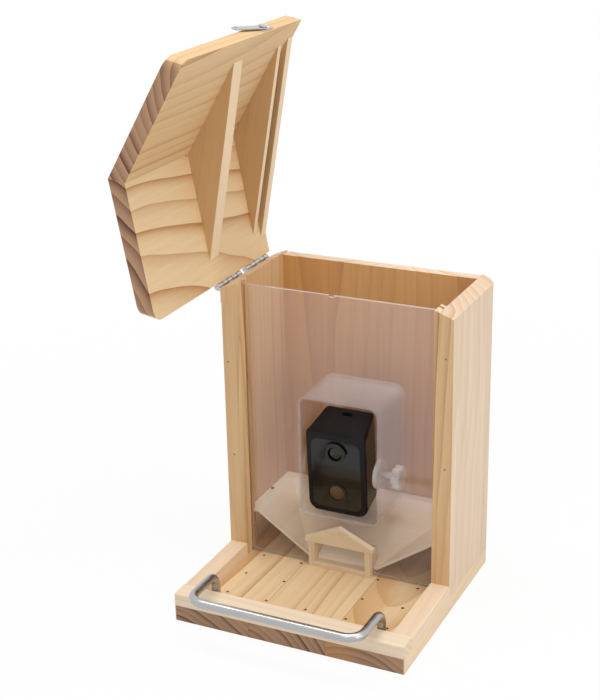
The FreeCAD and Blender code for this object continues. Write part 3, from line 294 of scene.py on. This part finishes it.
BASE_HALF = 110.0
STAVE_JOINT = 36.7
TRAY_TONES = (paint(242, 215, 173), paint(230, 195, 146), paint(196, 146, 90))
# The base's front end grain is darker than the long grain, and its tones are a darker copy of the
# sawn ends: painted shade.
SHADED_BASE_ENDS = (paint(180, 141, 108), paint(92, 56, 35))
GLUE_LINE = paint(140, 94, 56)
GLUE_HALF = 0.3
GLUE_SHARE = 0.6
EDGE_PALE = paint(244, 220, 188)
EDGE_WIDTH = 0.7
EDGE_SHARE = 0.65
AMBER = paint(202, 144, 78)
AMBER_EDGE = 62.0
AMBER_FADE = 16
AMBER_STRAY = 50
AMBER_RAGGED = (16, 16, 60)
AMBER_SHARE = 0.42
AMBER_SEED = 77.0


def stave(left, middle, right):
    """A value for each of the base board's three staves, by the place across it."""
    return lambda across: (
        middle
        + (across < -STAVE_JOINT) * (left - middle)
        + (across > STAVE_JOINT) * (right - middle)
    )


def glue_lines(place, across, colour):
    """Amber heartwood on one stave, a line at each glue joint, and sapwood at the long edges."""
    off = abs(across)
    joint = abs(off - STAVE_JOINT) < GLUE_HALF
    sapwood = off > BASE_HALF - EDGE_WIDTH
    ragged = (cloud(place, AMBER_RAGGED, detail=3.0, seed=AMBER_SEED) - 0.5) * AMBER_STRAY
    inside = ((AMBER_EDGE - across + ragged) / AMBER_FADE + 0.5).held()
    heartwood = blend(inside * (across > STAVE_JOINT) * AMBER_SHARE, colour, AMBER)
    glued = blend(joint * GLUE_SHARE, heartwood, GLUE_LINE)
    return blend(sapwood * EDGE_SHARE, glued, EDGE_PALE)


board(
    "base_board",
    REAR,
    RIGHT,
    (stave(-130, -60, 62), stave(95, 60, 46)),
    TRAY_TONES,
    ease=0.6,
    ring=6.5,
    figure=stave(1.3, 0.75, 1.25),
    seed=2.0,
    lean=stave(0.03, 0.02, 0.13),
    sway=4.5,
    ends=SHADED_BASE_ENDS,
    crisp=1.8,
    patch=glue_lines,
)

# Tray strips: planed pale pine with the grain along each strip, the outer top edges eased.
# The front one runs right across, the side ones stop at the walls, and glue holds all three.
SAP_TONES = (paint(246, 222, 192), paint(238, 209, 174), paint(212, 170, 124))
# The front rim takes a lighter copy of these tones: painted light.
FRONT_RIM_LIT_TONES = (paint(251, 232, 206), paint(244, 220, 189), paint(218, 178, 134))
PLANED_ENDS = (paint(240, 214, 186), paint(220, 184, 148))
strip_look = {
    "ease": 0.5,
    "ring": 6.0,
    "figure": 0.5,
    "lean": 0.03,
    "sway": 3.0,
    "ends": PLANED_ENDS,
}
board("front_rim", RIGHT, REAR, (30, 40), FRONT_RIM_LIT_TONES, seed=4.0, **strip_look)
board("left_rim", REAR, RIGHT, (-30, 40), SAP_TONES, seed=6.0, **strip_look)
board("right_rim", REAR, RIGHT, (34, 50), SAP_TONES, seed=8.0, **strip_look)

# Perch: 8 mm stainless bar, bent twice at each end and brushed along its length.
# Screws from under the base board hold its two legs.
# A dark colour painted into the gaps between a hinge's knuckles: painted shade, with a little
# grease.
GAP_SHADE_AND_GREASE = paint(66, 56, 50)
SMEAR = (18, 18, 18)
SMEAR_SHARE = 0.3
MARK_SHARE = 0.6
MARK_DARK = 0.7
MARK_ROUGH = 0.16


def millimetres(flow):
    """The place on a piece, in millimetres of the shared frame."""
    spot = flow.node("ShaderNodeTexCoord", out="Object")
    feeds = {0: spot, "Scale": 1 / MM}
    return flow.node("ShaderNodeVectorMath", {"operation": "SCALE"}, feeds)


def tinted(colour, times, plus=0.0):
    """A lighter or darker colour."""
    return [min(1, value * times + plus) for value in colour[:3]] + [1]


def metal(name, colour, rough, streak, gap_shading=None):
    """Metal with fine brush marks stretched along each axis by streak, in millimetres.

    The optional last function gives the share of painted shade, with a little grease, at a place.
    """
    material, flow, shader = new_finish(name)
    place = millimetres(flow)
    marks = cloud(place, streak, detail=4.0)
    smear = cloud(place, SMEAR, seed=3.0)
    worn = marks * MARK_SHARE + smear * SMEAR_SHARE
    brushed = blend(worn, colour, tinted(colour, MARK_DARK))
    feed(
        flow,
        shader,
        # Painted shade, with a little grease, darkens the places that the optional function gives.
        Base_Color=blend(gap_shading(place), brushed, GAP_SHADE_AND_GREASE) if gap_shading else brushed,
        Roughness=rough + MARK_ROUGH * marks,
        Metallic=1.0,
        Normal=relief(flow, marks, strength=0.12, depth=0.05),
    )
    return material


nickel_look = {"colour": paint(206, 206, 206), "rough": 0.16, "streak": (1.2, 6, 1.2)}
nickel = metal("nickel", **nickel_look)
stainless = metal("stainless", paint(190, 190, 190), rough=0.2, streak=(60, 0.4, 0.4))
dress("perch_bar", stainless)
dress("perch_screws", nickel)

# Side walls: planed pine boards, grain upright, tops bevelled to the roof pitch.
# Their outer faces are painted pale, as painted light, and their inner faces warm, as painted
# shade.
# Screws through the base board hold them.
# The walls' inner faces take the warm tones, as painted shade. Faces that look outward take the
# paler copy below, as painted light.
WALL_TONES = (paint(234, 198, 150), paint(221, 179, 126), paint(172, 116, 64))
WALL_LIT_OUTSIDE = (paint(244, 222, 196), paint(218, 187, 153), paint(206, 168, 128))
WALL_ENDS = (paint(230, 203, 173), paint(206, 169, 133))
board(
    "left_panel",
    UP,
    REAR,
    (150, -70),
    WALL_TONES,
    ease=0.7,
    ring=7.5,
    figure=0.5,
    seed=12.0,
    sway=7.0,
    ends=WALL_ENDS,
    skin=(-RIGHT, WALL_LIT_OUTSIDE),
)
board(
    "right_panel",
    UP,
    REAR,
    (-60, 55),
    WALL_TONES,
    ease=0.7,
    ring=9.0,
    figure=0.6,
    seed=14.0,
    lean=0.05,
    sway=9.0,
    ends=WALL_ENDS,
    skin=(RIGHT, WALL_LIT_OUTSIDE),
)
dress("wall_screws", nickel)

# Back wall: two upright pine boards that meet off the centre, held between the side walls.
# Their inner faces are painted darker and warmer, as painted shade, and their outer faces pale, as
# painted light. The right board's inner tones are painted a touch lighter.
BACK_WARM_SHADE = (paint(224, 176, 114), paint(208, 152, 88), paint(168, 104, 52))
BACK_RIGHT_WARM_SHADE = (paint(227, 179, 117), paint(212, 156, 92), paint(171, 107, 55))
for node, heart, tones, seed in (
    ("back_board_left", (-20, 45), BACK_WARM_SHADE, 16.0),
    ("back_board_right", (25, 50), BACK_RIGHT_WARM_SHADE, 18.0),
):
    board(
        node,
        UP,
        RIGHT,
        heart,
        tones,
        ease=0.5,
        ring=9.0,
        figure=0.45,
        seed=seed,
        sway=5.0,
        ends=PLANED_ENDS,
        skin=(REAR, WALL_LIT_OUTSIDE),
    )

# Window strips: thin pine beads, two on each wall, with the window's groove between them.
# Small dark brads pin the wall's front edge beside them.
bead_look = strip_look | {"ease": 0.3, "figure": 1.1}
for node, heart, seed in (
    ("left_front_bead", (22, 30), 20.0),
    ("right_front_bead", (-20, 34), 21.0),
    ("left_rear_bead", (26, 40), 22.0),
    ("right_rear_bead", (-24, 38), 23.0),
):
    board(node, UP, REAR, heart, WALL_TONES, seed=seed, **bead_look)

QUARTER_TURNS = ((1, 0, 0, 1), (0, -1, 1, 0), (-1, 0, 0, -1), (0, 1, -1, 0))
CROSS_TAPER = 0.7


def lathe(points, faces, profile, seat, axis, columns=24, cross=None):
    """Add one turned shape: profile gives radius and height above the seat, in millimetres.

    cross adds a driver's cross recess to its top: the cross's reach, half its width, its depth.
    It has 24 corners, so the shape then has 24 columns.
    """
    aside = axis.orthogonal().normalized()
    third = axis.cross(aside)
    turns = [math.tau * column / columns for column in range(columns)]
    rings = [
        [(radius * math.cos(turn), radius * math.sin(turn), high) for turn in turns]
        for radius, high in profile
    ]
    if cross:
        reach, half, depth = cross
        high = profile[-1][1]
        mid = (reach + half) / 2
        arm = [(reach, 0), (reach, half), (mid, half), (half, half), (half, mid), (half, reach)]
        mouth = [(a * x + b * y, c * x + d * y) for a, b, c, d in QUARTER_TURNS for x, y in arm]
        rings.append([(x, y, high) for x, y in mouth])
        rings.append([(x * CROSS_TAPER, y * CROSS_TAPER, high - depth) for x, y in mouth])
    first = len(points)
    for ring in rings:
        points += [seat + (aside * x + third * y + axis * z) * MM for x, y, z in ring]
    last = first + (len(rings) - 1) * columns
    for start in range(first, last, columns):
        above = start + columns
        for column in range(columns):
            after = (column + 1) % columns
            faces.append((start + column, start + after, above + after, above + column))
    faces.append(tuple(first + column for column in reversed(range(columns))))
    faces.append(tuple(last + column for column in range(columns)))


def turned_piece(name, points, faces, material, body, smooth=50):
    """A piece from turned shapes, riding a body and shaded smooth up to a bend in degrees."""
    mesh = bpy.data.meshes.new(name)
    mesh.from_pydata(points, [], faces)
    mesh.materials.append(material)
    mesh.polygons.foreach_set("use_smooth", [True] * len(mesh.polygons))
    mesh.set_sharp_from_angle(angle=math.radians(smooth))
    piece = bpy.data.objects.new(name, mesh)
    bpy.context.scene.collection.objects.link(piece)
    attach(piece, body)
    return piece


BRAD_HEAD = ((0.5, -4.0), (0.5, -0.1), (0.8, 0.0), (0.75, 0.1), (0.45, 0.18))
BRAD_PLACES = ((103.2, 244), (103.8, 141), (-105.5, 210), (-102.5, 118))
BRAD_COLUMNS = 12
dark_steel = metal("dark_steel", paint(112, 98, 86), rough=0.35, streak=(1, 1, 1))
brad_points, brad_faces = [], []
wall_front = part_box("right_panel")[0].y
for x, z in BRAD_PLACES:
    brad_seat = Vector((x * MM, wall_front, z * MM))
    lathe(brad_points, brad_faces, BRAD_HEAD, brad_seat, -REAR, BRAD_COLUMNS)
turned_piece("wall_brads", brad_points, brad_faces, dark_steel, "base")

# Seed funnel: pale sanded sheet, folded in three slopes, on cleats nailed round the walls.
# Its wood is close-grained and nearly without figure.
BASSWOOD_TONES = (paint(251, 239, 218), paint(242, 226, 202), paint(216, 192, 162))
for node, grain, seed in (
    ("left_cleat", REAR, 30.0),
    ("right_cleat", REAR, 31.0),
    ("back_cleat", RIGHT, 32.0),
):
    board(node, grain, UP, (15, 40), WALL_TONES, ease=0.3, ring=6.0, figure=0.5, seed=seed)
funnel_cut = (RIGHT, REAR, (40, 120), BASSWOOD_TONES)
board("seed_funnel", *funnel_cut, ease=0.2, ring=4.0, figure=0.25, seed=34.0)
dress("funnel_nails", dark_steel)

# Feeding port: a little house front of pale wood, glued up from sill, posts, gable and roof strips.
# Its corners are sanded round, and it stands in the window's notch.
PORT_TONES = (paint(240, 220, 190), paint(228, 204, 170), paint(198, 168, 132))
PORT_ENDS = (paint(226, 202, 170), paint(200, 168, 132))
for node, grain, face, seed in (
    ("port_sill", RIGHT, UP, 40.0),
    ("port_left_post", UP, RIGHT, 41.0),
    ("port_right_post", UP, RIGHT, 42.0),
    ("port_gable", RIGHT, UP, 43.0),
    ("port_left_roof", RIGHT, UP, 44.0),
    ("port_right_roof", RIGHT, UP, 45.0),
):
    port_cut = (grain, face, (20, 40), PORT_TONES)
    board(node, *port_cut, ease=0.4, ring=4.0, figure=0.4, seed=seed, ends=PORT_ENDS)

# Window: 3 mm clear acrylic on two small feet, slid down its grooves.
# Its polished faces mirror a little, and its sawn edges are milky.
HAZE = (60, 60, 90)
HAZE_DARK = 0.93
HAZE_ROUGH = 0.05
EVEN_VEIL = 0.7
CLOUDED_VEIL = 0.6
POLISH = 0.05
POLISH_ROUGH = 0.04
EDGE_MILK = 0.22
FLAT_FACING = 0.5


def surface_mix(flow, share, first, second):
    """Make the surface a mix of two shaders."""
    mixed = flow.node("ShaderNodeMixShader", None, {0: share, 1: first, 2: second})
    flow.fill(flow.tree.nodes["Material Output"].inputs, {"Surface": mixed})


def acrylic(name, veil, milk, flat=None, drift=0.0):
    """Clear acrylic with a faint milky veil; faces that don't look along flat are sawn edges.

    drift: how much the veil thickens towards the right, per millimetre.
    """
    material, flow, shader = new_finish(name)
    place = millimetres(flow)
    haze = cloud(place, HAZE, seed=7.0)
    body = veil * (EVEN_VEIL + CLOUDED_VEIL * haze + drift * along(place, RIGHT))
    if flat:
        facing = flow.node("ShaderNodeTexCoord", out="Normal")
        body = body + EDGE_MILK * (abs(along(facing, flat)) < FLAT_FACING)
    glance = flow.node("ShaderNodeLayerWeight", None, {"Blend": 0.5}, "Facing")
    mirror = POLISH + (1 - POLISH) * glance ** 5
    feed(
        flow,
        shader,
        Base_Color=blend(haze, milk, tinted(milk, HAZE_DARK)),
        Roughness=POLISH_ROUGH + HAZE_ROUGH * haze,
        Metallic=mirror / (body + mirror),
    )
    clear = flow.node("ShaderNodeBsdfTransparent")
    gloss = Flow(flow.tree, shader.outputs[0])
    surface_mix(flow, (body + mirror).maths("MINIMUM", 1.0), clear, gloss)
    return material


window_acrylic = acrylic(
    "window_acrylic", veil=0.036, milk=paint(248, 240, 248), flat=REAR, drift=0.008
)
dress("front_window", window_acrylic)

# Camera box: five acrylic walls cemented behind the window's cut-out, with a rest pad inside.
# The bends between its walls are rounded and a little milky.
box_acrylic = acrylic("box_acrylic", veil=0.14, milk=paint(246, 238, 236))
dress("camera_box", box_acrylic)
dress("rest_pad", box_acrylic)

# Clamp: a clear pad on a screw through the box wall, turned by a lobed knob.
# All three are moulded acrylic, brighter at their many edges.
clamp_acrylic = acrylic("clamp_acrylic", veil=0.4, milk=paint(252, 248, 246))
for node in ("clamp_pad", "clamp_screw", "clamp_knob"):
    dress(node, clamp_acrylic, ease=0.3)

# Camera: black moulded housing with a gloss face, a lens under a short hood, and a motion sensor.
# The board and the battery stand inside it.
PEBBLE = (0.5, 0.5, 0.5)
HANDLING = (14, 14, 9)
HANDLED_PALE = 1.6
HANDLED_GREY = 0.003
HANDLED_ROUGH = 0.08


def plastic(name, colour, rough, grainy, shine=0.5, ior=1.5):
    """Moulded plastic with a fine mould texture and faint handling marks."""
    material, flow, shader = new_finish(name)
    place = millimetres(flow)
    pebble = cloud(place, PEBBLE)
    marks = cloud(place, HANDLING, detail=3.0, seed=4.0)
    feed(
        flow,
        shader,
        Base_Color=blend(marks, colour, tinted(colour, HANDLED_PALE, HANDLED_GREY)),
        Roughness=rough + HANDLED_ROUGH * marks,
        Specular_IOR_Level=shine,
        IOR=ior,
        Normal=relief(flow, pebble, strength=grainy, depth=0.05),
    )
    return material


shell_black = plastic("camera_black", paint(19, 18, 19), rough=0.2, grainy=0.12, ior=1.25)
gloss_black = plastic("camera_gloss", paint(8, 7, 7), rough=0.05, grainy=0.01, shine=0.45)
ring_black = plastic("ring_black", paint(16, 16, 17), rough=0.25, grainy=0.1)
lens_glass = plastic("lens_glass", paint(8, 9, 13), rough=0.03, grainy=0.0)
sensor_amber = plastic("sensor_amber", paint(76, 52, 27), rough=0.22, grainy=0.3, shine=0.35)
circuit_green = plastic("circuit_green", paint(34, 84, 52), rough=0.4, grainy=0.2)
battery_wrap = plastic("battery_wrap", paint(60, 62, 70), rough=0.35, grainy=0.1)
dress("camera_shell", shell_black, ease=0.5)
dress("camera_face", gloss_black, ease=0.5)
dress("camera_hood", gloss_black, ease=0.3)
dress("camera_lens_ring", ring_black)
dress("camera_lens", lens_glass)
dress("camera_sensor", sensor_amber)
dress("camera_board", circuit_green)
dress("camera_battery", battery_wrap)

# Hinges: two nickel butt hinges on one line, screwed to the left wall and to the lid's edge.
# Each leaf has two cross-headed screws, and the lid's leaves are stored with the lid open.
HINGE_ACROSS = -114.5
HINGE_HIGH = 279.5
HINGE_PLACE = Vector((HINGE_ACROSS * MM, 0, HINGE_HIGH * MM))
HINGE_LENGTH = 44.0
SECOND_HINGE = 54.5
BARREL = 3.1
KNUCKLE = HINGE_LENGTH / 5
KNUCKLE_LINE = 0.065
# How dark the painted shade in the knuckle gaps is, and how far the barrel's ends are left without
# it.
KNUCKLE_SHADE = 0.75
UNSHADED_ENDS = 2
LEAF_MIDDLE = 8.7
LEAF_THICK = 1.2
EAVE_HALF = 111.5
LID_OPEN = math.radians(80)
SCREW_RUNS = (11.0, 33.0, 65.5, 87.5)
SCREW_BEND = 40
SMALL_SCREW = (
    (0.3, -10.0),
    (1.2, -8.0),
    (1.2, 0.0),
    (2.2, 0.0),
    (2.2, 0.3),
    (2.0, 0.62),
    (1.6, 0.82),
    (1.3, 0.88),
)
SMALL_CROSS = (1.05, 0.24, 0.5)


def small_screws(name, places, outward, swing, body):
    """Pan-head screws with cross recesses, in place of a node's plain ones."""
    points, faces = [], []
    for x, y, z in places:
        lathe(points, faces, SMALL_SCREW, Vector((x, y, z)) * MM, outward, cross=SMALL_CROSS)
    points = [swing @ point for point in points]
    screws = turned_piece(name + "_crossed", points, faces, nickel, body, SCREW_BEND)
    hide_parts(name)


def knuckle_joints(place):
    """Painted shade, with a little grease: the dark lines in the gaps between a hinge's five
    knuckles, on the barrel alone.
    """
    aside = along(place, RIGHT) - HINGE_ACROSS
    above = along(place, UP) - HINGE_HIGH
    run = along(place, REAR)
    run = run - (run > (HINGE_LENGTH + SECOND_HINGE) / 2) * SECOND_HINGE
    from_joint = abs((run / KNUCKLE + 0.5).maths("FRACT") - 0.5)
    barrel = aside * aside + above * above < BARREL ** 2
    inner = abs(run - HINGE_LENGTH / 2) < HINGE_LENGTH / 2 - UNSHADED_ENDS
    return barrel * inner * (from_joint < KNUCKLE_LINE) * KNUCKLE_SHADE


hinge_nickel = metal("hinge_nickel", gap_shading=knuckle_joints, **nickel_look)
for node in ("hinge_wall_leaves", "hinge_pins", "hinge_lid_leaves"):
    dress(node, hinge_nickel, ease=0.15)
wall_screw_places = [(-BASE_HALF - LEAF_THICK, y, HINGE_HIGH - LEAF_MIDDLE) for y in SCREW_RUNS]
lid_screw_places = [(-EAVE_HALF - LEAF_THICK, y, HINGE_HIGH + LEAF_MIDDLE) for y in SCREW_RUNS]
to_hinge = Matrix.Translation(HINGE_PLACE)
from_hinge = Matrix.Translation(-HINGE_PLACE)
lid_swing = to_hinge @ Matrix.Rotation(-LID_OPEN, 4, "Y") @ from_hinge
small_screws("hinge_wall_screws", wall_screw_places, -RIGHT, Matrix(), "base")
small_screws("hinge_lid_screws", lid_screw_places, -RIGHT, lid_swing, "lid")

# Lid: two thick pine boards joined at the ridge, with gable boards set inside.
# The front ends show dark rings, and the front corners are rounded.
ROOF_PITCH = math.radians(20.5)
RIDGE_KNOT = ((57, -5, 2.4, 1.6),)
LID_TONES = (paint(246, 218, 174), paint(233, 196, 144), paint(192, 136, 80))
FREE_TONES = (paint(233, 201, 154), paint(218, 178, 124), paint(182, 125, 70))
GABLE_TONES = (paint(214, 176, 128), paint(202, 160, 108), paint(176, 128, 78))
EDGE_TONES = (paint(251, 228, 192), paint(242, 211, 168), paint(208, 158, 106))


def lid_way(pitch):
    """The direction across a lid board, with the lid open as it is stored."""
    return Matrix.Rotation(pitch - LID_OPEN, 3, "Y") @ RIGHT


board(
    "roof_left",
    REAR,
    lid_way(-ROOF_PITCH),
    (-96, -150),
    LID_TONES,
    ease=1.0,
    ring=12.0,
    figure=1.35,
    seed=58.0,
    lean=0.07,
    sway=6.0,
    crisp=4.0,
    even=0.4,
    knots=RIDGE_KNOT,
)
board(
    "roof_right",
    REAR,
    lid_way(ROOF_PITCH),
    (70, 60),
    FREE_TONES,
    ease=1.0,
    ring=8.5,
    figure=0.9,
    seed=54.0,
    lean=-0.03,
    sway=4.0,
    crisp=3.0,
)
gable_cut = (lid_way(0), REAR, (10, 90), GABLE_TONES)
edge_skin = (lid_way(math.pi / 2), EDGE_TONES)
for node, seed in (("front_gable", 60.0), ("inner_rear_gable", 61.0), ("outer_rear_gable", 62.0)):
    board(node, *gable_cut, ease=0.4, ring=8.0, figure=0.3, seed=seed, skin=edge_skin)

# Latch: a pressed plate on the free eave, held by two screws, and an arm that turns on its rivet.
# All are nickel-plated steel.
LATCH_SEAT = 112.7
LATCH_RUN = 47.8
LATCH_HEIGHTS = (284.5, 291.0)
for node in ("latch_plate", "latch_rivet", "latch_arm"):
    dress(node, nickel, ease=0.12)
latch_places = [(LATCH_SEAT, LATCH_RUN, high) for high in LATCH_HEIGHTS]
small_screws("latch_screws", latch_places, RIGHT, lid_swing, "lid")

# Floor: plain and pale, and white to the camera apart from the feeder's soft shadow.
# It reaches far past the view, and the shadow's share fades out with the distance.
FLOOR_REACH = 8000
FLOOR_MOTTLE = (400, 400, 400)
NEAR_WHITE = 0.93
SHADOW_START = 350
SHADOW_FADE = 700
WHITE = (1, 1, 1, 1)


def white_to_camera(flow):
    """1 for rays from the camera, a gloss or a clear sheet, and 0 for the rays that light."""
    names = ("Is Camera Ray", "Is Glossy Ray", "Is Transmission Ray")
    camera, gloss, clear = (flow.node("ShaderNodeLightPath", out=name) for name in names)
    return (camera + gloss + clear).maths("MINIMUM", 1.0)


def floor_finish():
    """A pale matt floor that glows white to the camera."""
    material, flow, shader = new_finish("floor_white")
    place = millimetres(flow)
    mottle = cloud(place, FLOOR_MOTTLE)
    grey = blend(mottle, paint(243, 243, 243), paint(240, 240, 240))
    feed(flow, shader, Base_Color=grey, Roughness=0.9)
    glow = flow.node("ShaderNodeEmission", None, {"Color": WHITE, "Strength": 1.0})
    matt = Flow(flow.tree, shader.outputs[0])
    away = flow.node("ShaderNodeVectorMath", {"operation": "LENGTH"}, {0: place}, out=1)
    faded = ((away - SHADOW_START) / SHADOW_FADE).held()
    share = white_to_camera(flow) * (NEAR_WHITE + (1 - NEAR_WHITE) * faded)
    surface_mix(flow, share, matt, glow)
    return material


floor_mesh = bpy.data.meshes.new("floor")
floor_edge = FLOOR_REACH * MM
corners = [(x * floor_edge, y * floor_edge, 0) for x, y in ((-1, -1), (1, -1), (1, 1), (-1, 1))]
floor_mesh.from_pydata(corners, [], [(0, 1, 2, 3)])
floor_mesh.materials.append(floor_finish())
floor = bpy.data.objects.new("floor", floor_mesh)
bpy.context.scene.collection.objects.link(floor)

# Light: an even white room, a long soft lamp overhead, a square one on the right,
# and a faint high one in front. The front faces are left mostly to the floor's own bounce,
# so they stay a little dim.
ROOM_LIGHT = 0.42
world = bpy.data.worlds.new("room")
world.use_nodes = True
bpy.context.scene.world = world
room = Flow(world.node_tree)
glow_share = ROOM_LIGHT + (1 - ROOM_LIGHT) * white_to_camera(room)
feed(room, world.node_tree.nodes["Background"], Color=WHITE, Strength=glow_share)


def lamp(name, place, target, wide, deep, power):
    """A soft lamp with a rectangular face, aimed at a point, in metres and watts."""
    light = bpy.data.lights.new(name, "AREA")
    light.shape = "RECTANGLE"
    light.size = wide
    light.size_y = deep
    light.energy = power
    stand = bpy.data.objects.new(name, light)
    stand.location = place
    aim = Vector(target) - Vector(place)
    stand.rotation_euler = aim.to_track_quat("-Z", "Y").to_euler()
    bpy.context.scene.collection.objects.link(stand)


lamp("top_lamp", (0.1, 0.0, 2.5), (0.1, 0.0, 0), wide=2.8, deep=0.9, power=39)
lamp("right_lamp", (1.6, -0.5, 0.7), (0, 0, 0.2), wide=1.0, deep=1.0, power=5.5)
lamp("front_lamp", (0.2, -1.6, 2.2), (0, 0, 0.15), wide=1.2, deep=0.8, power=4.5)

# View: at the photograph's angle, with a longish lens and a slight roll.
# Its frame is 600 by 700, and its place is in metres.
VIEW_PLACE = Vector((0.50629, -1.11326, 0.71444))
VIEW_SIDE = math.radians(25.86)
VIEW_DOWN = math.radians(21.31)
VIEW_ROLL = math.radians(-1.249)
LENS = 90.38
SENSOR = 36
level = Vector((math.cos(VIEW_SIDE), math.sin(VIEW_SIDE), 0))
forward = Vector((-math.sin(VIEW_SIDE), math.cos(VIEW_SIDE), 0))
ahead = forward * math.cos(VIEW_DOWN) - UP * math.sin(VIEW_DOWN)
upright = level.cross(ahead)
view_right = level * math.cos(VIEW_ROLL) + upright * math.sin(VIEW_ROLL)
view_up = view_right.cross(ahead)
turn = Matrix((view_right, view_up, -ahead)).transposed().to_4x4()
viewer = bpy.data.objects.new("viewer", bpy.data.cameras.new("viewer"))
viewer.data.sensor_fit = "HORIZONTAL"
viewer.data.sensor_width = SENSOR
viewer.data.lens = LENS
viewer.matrix_world = Matrix.Translation(VIEW_PLACE) @ turn
bpy.context.scene.collection.objects.link(viewer)
bpy.context.scene.camera = viewer
bpy.context.scene.view_settings.view_transform = "Standard"
